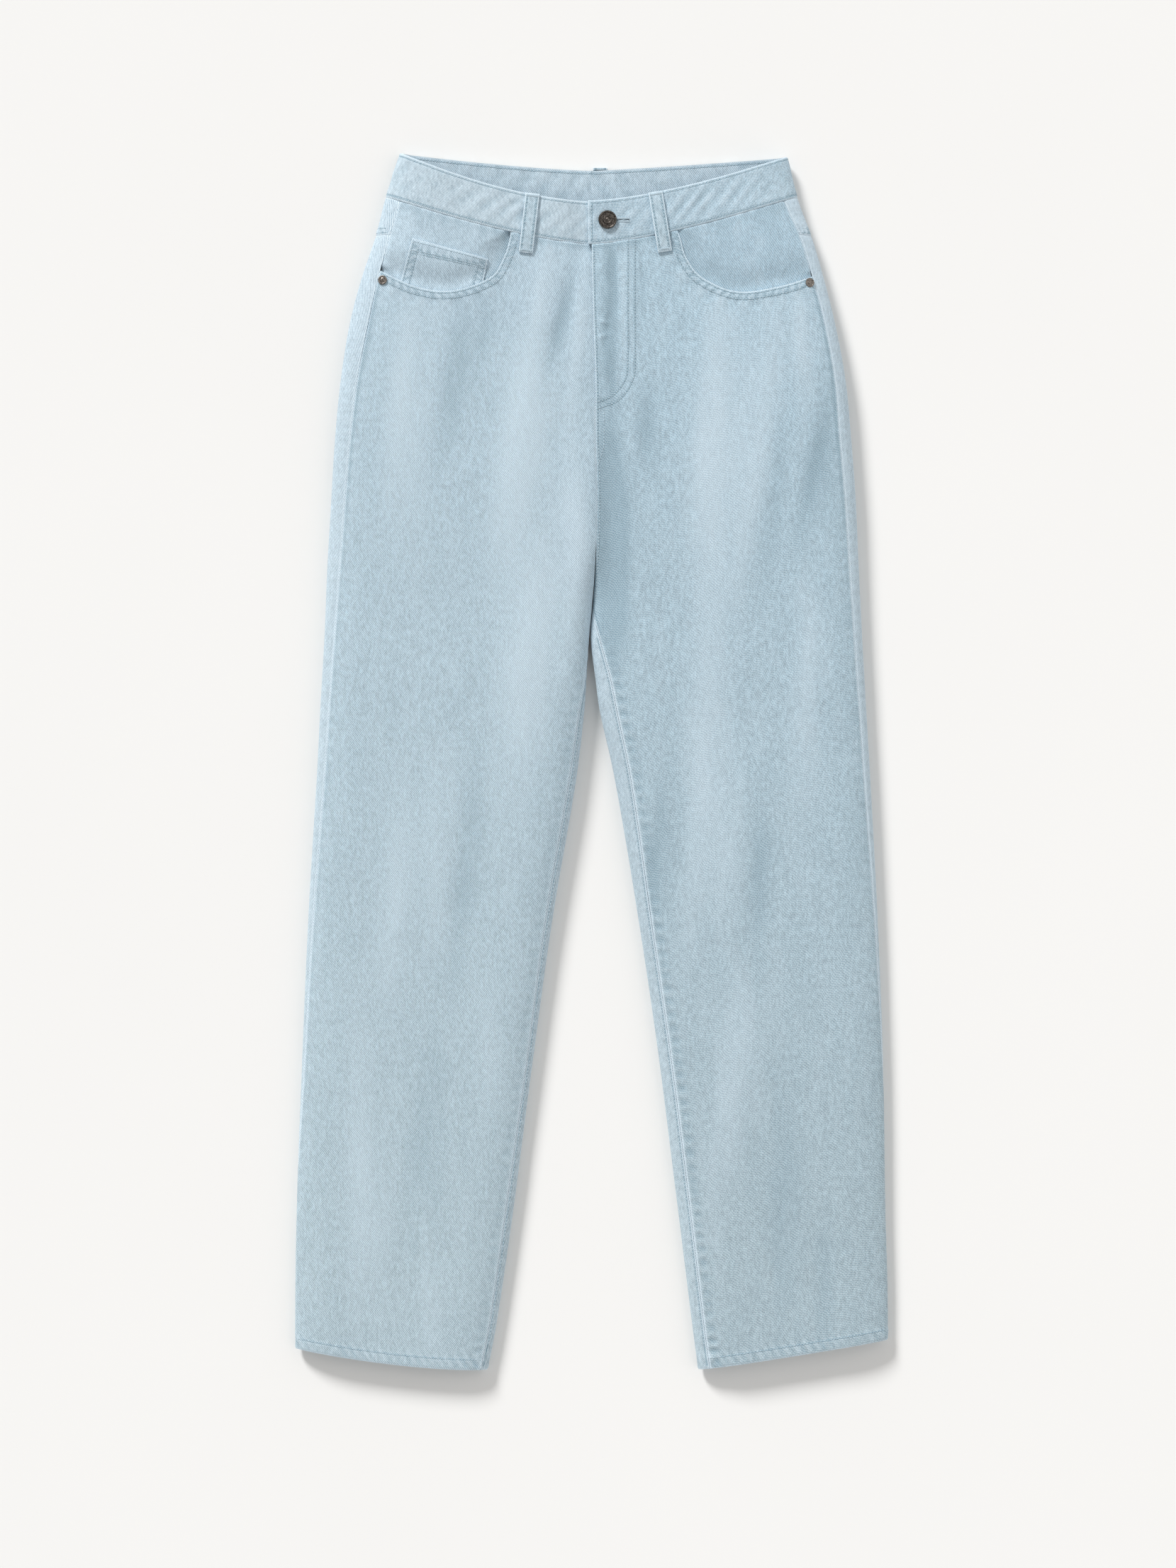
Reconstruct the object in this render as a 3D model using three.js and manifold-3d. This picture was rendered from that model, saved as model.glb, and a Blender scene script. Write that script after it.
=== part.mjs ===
import * as THREE from "three";
import { mergeVertices } from "three/addons/utils/BufferGeometryUtils.js";
import Module from "manifold-3d";

// Straight five-pocket jeans of light denim, laid flat on their back, in millimetres.
// X runs across the laid garment, Y from hem to waist, Z up. Right and left are the wearer's,
// so the right half lies on the -X side. The cloth is a flattened tube with soft rolled edges.

const wasm = await Module();
wasm.setup();

// Cloth and seams
const CLOTH = 1.4; // one layer of denim
const GAP = 0.3; // between two pieces at a seam
const LAID = 0.45; // between a piece and the cloth that it lies on
const BAND_WALL = 3; // waistband, folded double round its seam allowances
const BAND_PROUD = 0.6; // the waistband stands out of the front by this
const HEM_WALL = 2.6; // turned hem
const HEM_DEEP = 11;

// The laid section
const ROLL = 42; // width over which the top rolls down to the outer edge
const UNDER = 9; // width of the small roll below the edge
const EDGE_SHARE = 0.45; // height of the fold at an edge, as a share of the section's height
const SEAT_LIFT = 2; // the seat lies on its back pockets and belt loops
const LIFT_FROM = 225;
const LIFT_TO = 262;

// Levels along the garment
const WAIST_SEAM = 518; // at the side folds
const CROTCH = 141;
const KNEE_ROWS_FROM = 48;
const HEM_EDGE = -548;
const YOKE_SIDE = 483;
const YOKE_CENTRE = 440;

// Sections of the right half: outer fold, outseam's distance from it, centre seam or inner fold,
// inseam's distance from that, height, and the width of the roll at the inner fold.
const COLUMNS = ["y", "edge", "outseam", "inner", "inseam", "height", "roll"];
const RIGHT_SECTIONS = [
  [560, -175.6, 14.0, -0.7, 0, 20, 40],
  [518, -189.2, 14.5, -0.7, 0, 23, 40],
  [480, -199.1, 13.3, -0.4, 0, 25, 40],
  [440, -212.5, 15.7, 0.2, 0, 26, 40],
  [400, -222.7, 17.2, 1.3, 0, 26.5, 40],
  [350, -230.7, 15.5, 3.0, 0, 26.5, 38],
  [295, -236.0, 14.0, 3.4, 0, 26, 32],
  [243, -239.2, 12.9, 5.0, 0, 25.5, 25],
  [178, -243.1, 11.9, 3.0, 0, 24.5, 20],
  [141, -244.6, 10.6, 0.1, 0, 24, 20],
  [113, -245.8, 9.5, -2.6, 0, 24, 22],
  [75, -248.0, 8.9, -5.2, 1.5, 24, 26],
  [48, -249.6, 8.4, -6.9, 4.2, 23.5, 32],
  [-17, -252.9, 7.2, -14.6, 6, 23, 40],
  [-147, -260.7, 4.8, -36.5, 6.1, 21.5, 40],
  [-277, -266.4, 2.6, -54.6, 5.2, 20, 40],
  [-407, -271.2, -0.8, -71.5, 6.7, 18.5, 40],
  [-521, -272.8, -1.6, -88.3, 6.4, 17, 38],
  [-560, -271.6, -1.6, -96.2, 6.4, 16, 38],
];
const LEFT_SECTIONS = [
  [560, 178.0, 14.0, -0.7, 0, 20, 42],
  [518, 188.6, 14.0, -0.7, 0, 23, 42],
  [480, 202.4, 11.0, -0.4, 0, 25, 42],
  [440, 213.9, 10.4, 0.2, 0, 26, 42],
  [400, 223.8, 9.9, 1.3, 0, 26.5, 42],
  [350, 233.0, 10.1, 3.0, 0, 26.5, 44],
  [295, 238.2, 10.7, 3.4, 0, 26, 46],
  [243, 242.1, 10.0, 5.0, 0, 25.5, 46],
  [178, 245.1, 8.8, 3.0, 0, 24.5, 46],
  [141, 246.9, 8.1, 0.5, 0, 24, 46],
  [113, 248.3, 7.6, -1.2, 8, 24, 46],
  [75, 250.4, 7.0, 3.4, 13.6, 24, 46],
  [48, 251.9, 6.5, 6.9, 15.4, 23.5, 44],
  [-17, 255.8, 5.8, 21.1, 14.5, 23, 42],
  [-147, 262.6, 2.9, 43.1, 11.3, 21.5, 42],
  [-277, 267.5, 0.3, 62.1, 11, 20, 42],
  [-407, 269.4, -1.2, 78.5, 11, 18.5, 42],
  [-521, 272.0, -1.6, 92.6, 10.5, 17, 40],
  [-560, 269.0, -1.6, 98.0, 10.5, 16, 40],
];

// Soft folds of the top cloth: middle, turn of its run from X in degrees, half length,
// half width, and rise (a trough is negative).
const FOLDS = [
  { x: -12, y: 196, turn: 90, reach: 84, width: 14, rise: 2.4 },
  { x: 15, y: 206, turn: 91, reach: 90, width: 13, rise: -3 },
  { x: -23, y: 398, turn: 89, reach: 48, width: 9, rise: -1 },
  { x: -56, y: 340, turn: 85, reach: 110, width: 20, rise: 1.5 },
  { x: -62, y: 120, turn: 86, reach: 110, width: 26, rise: 1.3 },
  { x: -150, y: 290, turn: 84, reach: 130, width: 27, rise: 1.6 },
  { x: -140, y: -110, turn: 88, reach: 105, width: 24, rise: 1.4 },
  { x: -200, y: -420, turn: 90, reach: 95, width: 20, rise: 0.9 },
  { x: 21, y: 412, turn: 92, reach: 60, width: 7, rise: -0.9 },
  { x: 40, y: 425, turn: 90, reach: 40, width: 9, rise: 0.6 },
  { x: 37, y: 300, turn: 88, reach: 44, width: 11, rise: 0.9 },
  { x: 154, y: 290, turn: 81, reach: 140, width: 34, rise: 2.1 },
  { x: 214, y: 250, turn: 82, reach: 80, width: 12, rise: -1 },
  { x: 128, y: -70, turn: 87, reach: 92, width: 22, rise: 1.3 },
  { x: 80, y: -80, turn: 82, reach: 62, width: 14, rise: -0.9 },
  { x: 144, y: -260, turn: 86, reach: 85, width: 20, rise: 0.9 },
];

const PI2 = Math.PI / 2;
const lerp = THREE.MathUtils.lerp;
const clamp = THREE.MathUtils.clamp;
const smoothstep = THREE.MathUtils.smoothstep;

// A smooth curve through one column of a section table, as a function of y.
function column(sections, name) {
  const k = COLUMNS.indexOf(name);
  const y = sections.map((row) => row[0]);
  const v = sections.map((row) => row[k]);
  const last = y.length - 1;
  const slope = v.map((_, i) => {
    const a = Math.max(i - 1, 0);
    const b = Math.min(i + 1, last);
    return (v[b] - v[a]) / (y[b] - y[a]);
  });
  return (at) => {
    let i = y.findIndex((level) => level <= at);
    i = clamp(i < 0 ? last : i, 1, last);
    const h = y[i] - y[i - 1];
    const t = clamp((at - y[i - 1]) / h, 0, 1);
    const near = v[i - 1] * (1 + 2 * t) * (1 - t) ** 2 + slope[i - 1] * h * t * (1 - t) ** 2;
    return near + v[i] * t * t * (3 - 2 * t) + slope[i] * h * t * t * (t - 1);
  };
}

// One half of the garment: side is -1 for the wearer's right and 1 for the left.
function half(side, sections, dropFrom, curves) {
  const made = { side, dropFrom, ...curves };
  for (const name of COLUMNS.slice(1)) made[name] = column(sections, name);
  return made;
}

// The waist seam and the waistband's top edge, each a low curve that rises to the side folds.
const RIGHT = half(-1, RIGHT_SECTIONS, 206, {
  frontSeam: { low: 473.5, rise: 44.5, at: 189.2, power: 1.45 },
  frontTop: { low: 513.2, rise: 45.4, at: 176, power: 1.7 },
  backTop: { low: 543.2, rise: 15.4, at: 176, power: 1.4 },
  hem: { low: -558.9, rise: 19.4, from: 105, at: 271.5, power: 1.7 },
});
const LEFT = half(1, LEFT_SECTIONS, 206, {
  frontSeam: { low: 473.5, rise: 44.5, at: 188.6, power: 1.4 },
  frontTop: { low: 513.8, rise: 41.2, at: 179, power: 1.5 },
  backTop: { low: 543.2, rise: 11.8, at: 179, power: 1.2 },
  hem: { low: -558.5, rise: 27, from: 100, at: 271, power: 1.1 },
});
const BACK_SEAM = { low: 503, rise: 15, at: 189, power: 1.4 };

function rising(curve, x) {
  const from = curve.from ?? 0;
  return curve.low + curve.rise * (Math.max(Math.abs(x) - from, 0) / (curve.at - from)) ** curve.power;
}
const yokeLine = (x) => lerp(YOKE_CENTRE, YOKE_SIDE, Math.min(Math.abs(x) / 188, 1));

function relief(x, y) {
  let z = 0;
  for (const fold of FOLDS) {
    const turn = THREE.MathUtils.degToRad(fold.turn);
    const dx = x - fold.x;
    const dy = y - fold.y;
    const along = (dx * Math.cos(turn) + dy * Math.sin(turn)) / fold.reach;
    const across = (dy * Math.cos(turn) - dx * Math.sin(turn)) / fold.width;
    z += fold.rise * Math.exp(-along * along - across * across);
  }
  return z;
}

const seatLift = (y) => SEAT_LIFT * smoothstep(y, LIFT_FROM, LIFT_TO);
const arch = (distance, width) => Math.sqrt(1 - (1 - clamp(distance / width, 0, 1)) ** 2);
const archAngle = (distance, width) => Math.acos(1 - clamp(distance / width, 0, 1)) / PI2;

// Places round a half's section are numbered: 0 the inner fold or centre seam, 0 to 1 the roll
// up from it, 1 to 2 the flat top, 2 to 3 the roll down to the outer fold, 3 to 4 the small roll
// under it, 4 to 5 the flat underside, 5 to 6 the small roll up to the inner fold, then 0 again.
function section(h, y, place) {
  const edge = h.edge(y);
  const inner = h.inner(y);
  const roll = h.roll(y);
  const open = y > CROTCH;
  const p = !open && place >= 6 ? place - 6 : Math.min(place, 6);
  const width = Math.abs(edge - inner);
  let w; // distance from the inner fold
  if (p < 0) w = open ? 100 * p : UNDER * (1 - Math.cos(p * PI2));
  else if (p < 1) w = roll * (1 - Math.cos(p * PI2));
  else if (p < 2) w = lerp(roll, width - ROLL, p - 1);
  else if (p < 3) w = width - ROLL * (1 - Math.cos((3 - p) * PI2));
  else if (p < 4) w = width - UNDER * (1 - Math.cos((p - 3) * PI2));
  else if (p < 5) w = lerp(width - UNDER, UNDER, p - 4);
  else w = UNDER * (1 - Math.cos((6 - p) * PI2));
  const x = inner + h.side * w;
  const height = h.height(y);
  const fold = EDGE_SHARE * height;
  const below = p > 3 || (p < 0 && !open);
  if (below) {
    const lift = seatLift(y);
    const close = 1 - smoothstep(y, CROTCH, CROTCH + 26);
    const rise = Math.max(1 - arch(width - w, UNDER), close * (1 - arch(w, UNDER)));
    return [x, lift + (fold - lift) * rise];
  }
  const drop = 1 - smoothstep(y, CROTCH, h.dropFrom);
  const swell = arch(width - w, ROLL) * (1 - drop * (1 - arch(Math.max(w, 0), roll)));
  return [x, fold + (height - fold + relief(x, y)) * swell];
}

// A point at a place of a section, moved in from the outer face by depth.
function point(h, y, place, depth) {
  const step = 0.01;
  const start = y > CROTCH && place >= 0 ? 0 : -9;
  const a = section(h, y, Math.max(place - step, start));
  const b = section(h, y, place + step);
  const [x, z] = section(h, y, place);
  const length = Math.hypot(b[0] - a[0], b[1] - a[1]);
  const nx = (-h.side * (b[1] - a[1])) / length;
  const nz = (h.side * (b[0] - a[0])) / length;
  return new THREE.Vector3(x - nx * depth, y, z - nz * depth);
}

// The place on top of a half that lies at x.
function placeOf(h, x, y) {
  const width = Math.abs(h.edge(y) - h.inner(y));
  const roll = h.roll(y);
  const w = h.side * (x - h.inner(y));
  if (w < 0) return w / 100;
  if (w < roll) return archAngle(w, roll);
  if (width - w < ROLL) return 3 - archAngle(width - w, ROLL);
  return 1 + (w - roll) / (width - ROLL - roll);
}
const onTop = (h, x, y, depth) => point(h, y, placeOf(h, x, y), depth);

// The places of the outseam and the inseam, moved on along the surface by shift.
function along(h, y, place, shift) {
  const step = 0.005;
  const a = section(h, y, place - step);
  const b = section(h, y, place + step);
  return place + (shift * 2 * step) / Math.hypot(b[0] - a[0], b[1] - a[1]);
}
function outseamPlace(h, y, shift) {
  const inset = h.outseam(y);
  const place = inset < 0 ? 3 + archAngle(-inset, UNDER) : 3 - archAngle(inset, ROLL);
  return along(h, y, place, shift);
}
function inseamPlace(h, y) {
  return archAngle(Math.max(h.inseam(y), 0), h.roll(y));
}
// The end of a strip at the inner fold: half a gap short of the centre seam or the inseam.
function innerEnd(h, y, sign) {
  if (y > CROTCH && sign > 0) return placeOf(h, h.inner(y) + (h.side * GAP) / 2, y);
  if (y > CROTCH) return 6 - archAngle(GAP / 2, UNDER);
  const place = inseamPlace(h, y);
  if (sign > 0) return along(h, y, place + 0.005, GAP / 2);
  return 6 + along(h, y, place, -GAP / 2);
}

// Evenly spaced numbers from a to b, with both ends or without the last.
function steps(a, b, count, closed = false) {
  return Array.from({ length: count + (closed ? 1 : 0) }, (_, i) => lerp(a, b, i / count));
}
function frontPlaces(h, y) {
  const end = outseamPlace(h, y, -GAP / 2);
  return [...steps(innerEnd(h, y, 1), 1, 3), ...steps(1, 2, 7), ...steps(2, end, 4, true)];
}
function backPlaces(h, y) {
  const start = outseamPlace(h, y, GAP / 2);
  return [...steps(start, 4, 5), ...steps(4, 5, 6), ...steps(5, innerEnd(h, y, -1), 5, true)];
}

// A closed wall: a grid of outer points, the same grid of inner points, and the rim between.
function wall(grid, flip) {
  const rows = grid.length - 1;
  const cols = grid[0].length - 1;
  const layer = (rows + 1) * (cols + 1);
  const out = (i, j) => i * (cols + 1) + j;
  const into = (i, j) => layer + out(i, j);
  const positions = [];
  for (const face of ["outer", "inner"])
    for (const row of grid) for (const pair of row) positions.push(...pair[face].toArray());
  const index = [];
  const quad = (a, b, c, d) => index.push(a, b, c, a, c, d);
  for (let i = 0; i < rows; i++)
    for (let j = 0; j < cols; j++) {
      quad(out(i, j), out(i + 1, j), out(i + 1, j + 1), out(i, j + 1));
      quad(into(i, j), into(i, j + 1), into(i + 1, j + 1), into(i + 1, j));
    }
  for (let j = 0; j < cols; j++) {
    quad(out(0, j), out(0, j + 1), into(0, j + 1), into(0, j));
    quad(out(rows, j + 1), out(rows, j), into(rows, j), into(rows, j + 1));
  }
  for (let i = 0; i < rows; i++) {
    quad(out(i + 1, 0), out(i, 0), into(i, 0), into(i + 1, 0));
    quad(out(i, cols), out(i + 1, cols), into(i + 1, cols), into(i, cols));
  }
  if (flip) index.reverse();
  const geometry = new THREE.BufferGeometry();
  geometry.setAttribute("position", new THREE.Float32BufferAttribute(positions, 3));
  geometry.setIndex(index);
  return geometry;
}

// A wall between two lines of y over a half, whose rows follow place lists.
function strip(h, rows, places, lineOf) {
  const grid = rows.map(({ level, thick }) => {
    const count = places(h, level).length;
    return Array.from({ length: count }, (_, j) => {
      let y = level;
      for (let pass = 0; pass < 4; pass++) {
        const place = places(h, y)[j];
        y = lineOf(level, section(h, y, place)[0], place);
      }
      const place = places(h, y)[j];
      return { outer: point(h, y, place, 0), inner: point(h, y, place, thick) };
    });
  });
  return wall(grid, h.side < 0);
}

const legLevels = [
  ...steps(CROTCH, KNEE_ROWS_FROM, 4),
  ...steps(KNEE_ROWS_FROM, HEM_EDGE + HEM_DEEP + 0.4, 14, true),
];
const hemRows = [HEM_EDGE + HEM_DEEP - 0.4, HEM_EDGE].map((level) => ({ level, thick: HEM_WALL }));
const clothRows = (levels) => levels.map((level) => ({ level, thick: CLOTH }));

// The share of the hem's curve that a row follows, and from where rows bend towards the top seams.
const HEM_CURVE_FROM = -460;
const HEM_CURVE_FULL = -537;
const FRONT_ROWS_BEND = 375;
const BACK_ROWS_BEND = 340;
const hemShare = (level) => clamp((HEM_CURVE_FROM - level) / (HEM_CURVE_FROM - HEM_CURVE_FULL), 0, 1);
const hemShift = (h, level, x) => hemShare(level) * (rising(h.hem, x) - HEM_EDGE);

function frontPanel(h) {
  const rows = [...clothRows([...steps(WAIST_SEAM, CROTCH, 12), ...legLevels]), ...hemRows];
  const fade = WAIST_SEAM - FRONT_ROWS_BEND;
  const line = (level, x) => {
    const share = clamp((level - FRONT_ROWS_BEND) / fade, 0, 1);
    const seam = rising(h.frontSeam, x) - GAP / 2 - WAIST_SEAM;
    return level + share * seam + hemShift(h, level, x);
  };
  return strip(h, rows, frontPlaces, line);
}

function backPanel(h) {
  const rows = [...clothRows([...steps(YOKE_SIDE, CROTCH, 10), ...legLevels]), ...hemRows];
  const fade = YOKE_SIDE - BACK_ROWS_BEND;
  const line = (level, x) => {
    const share = clamp((level - BACK_ROWS_BEND) / fade, 0, 1);
    return level + share * (yokeLine(x) - GAP / 2 - YOKE_SIDE) + hemShift(h, level, x);
  };
  return strip(h, rows, backPlaces, line);
}

const waistLine = (h, x, place) => rising(place < 3 ? h.frontSeam : BACK_SEAM, x);
const bandTop = (h, x, place) => rising(place < 3 ? h.frontTop : h.backTop, x);

function yoke(h) {
  const rows = clothRows(steps(WAIST_SEAM, YOKE_SIDE, 3, true));
  const line = (level, x, place) => {
    const share = (WAIST_SEAM - level) / (WAIST_SEAM - YOKE_SIDE);
    return lerp(waistLine(h, x, place) - GAP / 2, yokeLine(x) + GAP / 2, share);
  };
  return strip(h, rows, backPlaces, line);
}

// Front pocket openings, from the waist seam to the outseam, and the facing behind each.
const OPENINGS = {
  right: [
    [-74.4, 486], [-75.7, 477], [-81, 461], [-93.3, 443], [-127.6, 431], [-161, 434.5], [-196, 450.5],
  ],
  left: [[77.8, 487], [81, 479], [86.5, 461], [101, 443], [133, 430], [171, 434.5], [203, 444.5]],
};
const FACING_BOTTOM = 414;
const FACING_TUCK = 13; // how far the facing runs on under the front, past the opening
const COIN_CLOTH = 1.1;
const COIN_CORNERS = {
  topLeft: [-164.5, 479],
  topRight: [-95.2, 460],
  bottomLeft: [-180, 424],
  bottomRight: [-103, 422],
};

const openingCurve = (name) => {
  const points = OPENINGS[name].map(([x, y]) => new THREE.Vector2(x, y));
  return new THREE.SplineCurve(points).getPoints(24);
};

// Signed distance from the opening's line, positive on the open side towards the hip.
function fromOpening(line, side, x, y) {
  let best = Infinity;
  let sign = 1;
  for (let i = 1; i < line.length; i++) {
    const a = line[i - 1];
    const b = line[i];
    const dx = b.x - a.x;
    const dy = b.y - a.y;
    const t = clamp(((x - a.x) * dx + (y - a.y) * dy) / (dx * dx + dy * dy), 0, 1);
    const distance = Math.hypot(x - a.x - t * dx, y - a.y - t * dy);
    if (distance >= best) continue;
    best = distance;
    sign = side * (dx * (y - a.y) - dy * (x - a.x)) > 0 ? 1 : -1;
  }
  return sign * best;
}

// A geometry as a manifold solid, and back.
function solidOf(geometry) {
  const plain = geometry.clone();
  plain.deleteAttribute("normal");
  plain.deleteAttribute("uv");
  const merged = mergeVertices(plain, 1e-4);
  return new wasm.Manifold(
    new wasm.Mesh({
      numProp: 3,
      vertProperties: merged.attributes.position.array,
      triVerts: new Uint32Array(merged.index.array),
    }),
  );
}
function geometryOf(solid) {
  const mesh = solid.getMesh();
  const geometry = new THREE.BufferGeometry();
  geometry.setAttribute("position", new THREE.BufferAttribute(mesh.vertProperties, 3));
  geometry.setIndex(new THREE.BufferAttribute(mesh.triVerts, 1));
  return geometry;
}
function prism(points, low, high) {
  const shape = new THREE.Shape(points);
  const geometry = new THREE.ExtrudeGeometry(shape, { depth: high - low, bevelEnabled: false });
  return geometry.translate(0, 0, low);
}

function cutFrontPanel(h, name) {
  const line = openingCurve(name);
  const beyond = h.side * 260;
  const end = line[line.length - 1];
  const outline = [...line, new THREE.Vector2(beyond, end.y + 12), new THREE.Vector2(beyond, 570)];
  outline.push(new THREE.Vector2(line[0].x, 570));
  const hole = prism(outline, -5, 60);
  return geometryOf(solidOf(frontPanel(h)).subtract(solidOf(hole)));
}

// How deep the facing lies: flush at the hip, and under the front panel at the opening.
function facingDepth(line, h, x, y) {
  const under = CLOTH + GAP + (h.side < 0 ? COIN_CLOTH + LAID + 0.1 : 0.1);
  return under * (1 - smoothstep(fromOpening(line, h.side, x, y), 4, 30));
}
function facing(h, name) {
  const line = openingCurve(name);
  const innerX = line[0].x - h.side * FACING_TUCK;
  const grid = steps(0, 1, 9, true).map((v) =>
    steps(0, 1, 13, true).map((f) => {
      let x = innerX;
      let y = FACING_BOTTOM;
      for (let pass = 0; pass < 5; pass++) {
        y = lerp(rising(h.frontSeam, x) - GAP / 2, FACING_BOTTOM, v);
        x = lerp(innerX, section(h, y, outseamPlace(h, y, -LAID))[0], f);
      }
      const depth = facingDepth(line, h, x, y);
      return { outer: onTop(h, x, y, depth), inner: onTop(h, x, y, depth + CLOTH) };
    }),
  );
  return wall(grid, h.side < 0);
}

function coinPocket(h) {
  const line = openingCurve("right");
  const { topLeft, topRight, bottomLeft, bottomRight } = COIN_CORNERS;
  const grid = steps(0, 1, 6, true).map((v) =>
    steps(0, 1, 8, true).map((f) => {
      const x = lerp(lerp(topRight[0], topLeft[0], f), lerp(bottomRight[0], bottomLeft[0], f), v);
      const y = lerp(lerp(topRight[1], topLeft[1], f), lerp(bottomRight[1], bottomLeft[1], f), v);
      const seat = facingDepth(line, h, x, y) - LAID;
      return { outer: onTop(h, x, y, seat - COIN_CLOTH), inner: onTop(h, x, y, seat) };
    }),
  );
  return wall(grid, true);
}

// The waistband: one strip from its right end, which lies under, round the back to its left end.
const LAP_UNDER = 38; // reach of the right end under the left one
const LAP_OVER = 3; // reach of the left end over the centre seam
const LAP_DIVE = { from: -30, to: -7, depth: BAND_WALL + LAID };
const BUTTON = { x: 14.3, y: 495.7, radius: 8.5, shank: 2.6, height: 3.4 };
const BUTTONHOLE = { eye: 3.2, slit: 0.8, end: 34 };

function bandDepth(h, x, place) {
  const proud = -BAND_PROUD * (1 - smoothstep(place, 3, 4));
  const dive = h.side < 0 && place < 2 ? LAP_DIVE.depth * smoothstep(x, LAP_DIVE.from, LAP_DIVE.to) : 0;
  return proud + dive;
}
function bandColumn(h, level, list, j) {
  const share = (level - WAIST_SEAM) / 40;
  let y = level;
  let place = 0;
  for (let pass = 0; pass < 4; pass++) {
    place = list(h, y)[j];
    const x = section(h, y, place)[0];
    y = lerp(waistLine(h, x, place) + GAP / 2, bandTop(h, x, place), share);
  }
  const x = section(h, y, place)[0];
  const depth = bandDepth(h, x, place);
  return { outer: point(h, y, place, depth), inner: point(h, y, place, depth + BAND_WALL) };
}
function waistband() {
  const lap = { "-1": steps(-LAP_UNDER / 100, 0, 3), 1: steps(-LAP_OVER / 100, 0, 1) };
  const list = (h, y) => [...lap[h.side], ...frontPlaces(h, y), ...backPlaces(h, y).slice(1)];
  const grid = steps(WAIST_SEAM, WAIST_SEAM + 40, 3, true).map((level) => {
    const columns = (h) => list(h, level).map((_, j) => bandColumn(h, level, list, j));
    return [...columns(RIGHT), ...columns(LEFT).reverse()];
  });
  const { x, y } = BUTTON;
  const { eye, slit, end } = BUTTONHOLE;
  const bend = Math.asin(slit / eye);
  const arc = steps(bend, 2 * Math.PI - bend, 14, true);
  const outline = arc.map((a) => new THREE.Vector2(x + eye * Math.cos(a), y + eye * Math.sin(a)));
  outline.push(new THREE.Vector2(end, y - slit), new THREE.Vector2(end, y + slit));
  const face = onTop(LEFT, x, y, BAND_WALL - BAND_PROUD + LAID / 2).z;
  const hole = prism(outline, face, face + 12);
  return geometryOf(solidOf(wall(grid, false)).subtract(solidOf(hole)));
}

// A belt loop on the front, from the band's top edge to just below its seam.
const LOOP = { width: 13, cloth: 1.9, arch: 0.9 };
function frontLoop(h, top, bottom) {
  const axis = new THREE.Vector2(bottom[0] - top[0], bottom[1] - top[1]).normalize();
  const grid = steps(0, 1, 9, true).map((t) =>
    steps(0.5, -0.5, 2, true).map((f) => {
      const x = lerp(top[0], bottom[0], t) - axis.y * f * LOOP.width;
      const y = lerp(top[1], bottom[1], t) + axis.x * f * LOOP.width;
      const clear = LAID + BAND_PROUD * (1 - smoothstep(t, 0.8, 0.95));
      const bow = LOOP.arch * Math.sin(Math.PI * t);
      const seat = onTop(h, x, y, -clear);
      const face = onTop(h, x, y, -clear - LOOP.cloth - bow);
      return { outer: face, inner: seat };
    }),
  );
  return wall(grid, true);
}

// A belt loop on the back, flat on the surface below. The centre one hooks over the band's top
// edge, where its nub shows; the side ones end just short of the edge.
const BACK_LOOP = { cloth: 1.6, below: 9, turn: 1.8, hook: 5.2, short: 1.4 };
function backLoop(h, x, hooked) {
  const { cloth, turn, hook } = BACK_LOOP;
  const low = rising(BACK_SEAM, x) - BACK_LOOP.below;
  const short = rising(h.backTop, Math.abs(x) - LOOP.width / 2) - BACK_LOOP.short;
  const top = hooked ? rising(h.backTop, Math.abs(x) + LOOP.width / 2) + LAID : short;
  const end = [[top + turn, 0], [top + turn, hook], [top, hook], [top, cloth]];
  const outline = [[low, 0], ...(hooked ? end : [[top, 0], [top, cloth]]), [low, cloth]];
  const shape = new THREE.Shape(outline.map(([u, v]) => new THREE.Vector2(u, v)));
  const geometry = new THREE.ExtrudeGeometry(shape, { depth: LOOP.width, bevelEnabled: false });
  const turned = new THREE.Matrix4().makeBasis(
    new THREE.Vector3(0, 1, 0),
    new THREE.Vector3(0, 0, 1),
    new THREE.Vector3(1, 0, 0),
  );
  return geometry.applyMatrix4(turned).translate(x - LOOP.width / 2, 0, 0);
}

const BACK_POCKET = {
  x: 118, y: 345, top: 74, side: 66, up: 78, corner: -50, tip: -80, cloth: 1.6, tilt: 2.5,
};
function backPocket(h) {
  const { top, side, up, corner, tip, cloth, tilt } = BACK_POCKET;
  const shape = new THREE.Shape();
  shape.moveTo(-top, up);
  shape.lineTo(-side, corner);
  shape.quadraticCurveTo(-side + 2, corner - 9, -side + 12, corner - 13);
  shape.lineTo(-5, tip + 1);
  shape.quadraticCurveTo(0, tip - 1, 5, tip + 1);
  shape.lineTo(side - 12, corner - 13);
  shape.quadraticCurveTo(side - 2, corner - 9, side, corner);
  shape.lineTo(top, up);
  const flat = { depth: cloth, bevelEnabled: false, curveSegments: 4 };
  const geometry = new THREE.ExtrudeGeometry(shape, flat);
  geometry.rotateZ(THREE.MathUtils.degToRad(h.side * tilt));
  return geometry.translate(h.side * BACK_POCKET.x, BACK_POCKET.y, 0);
}

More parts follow.
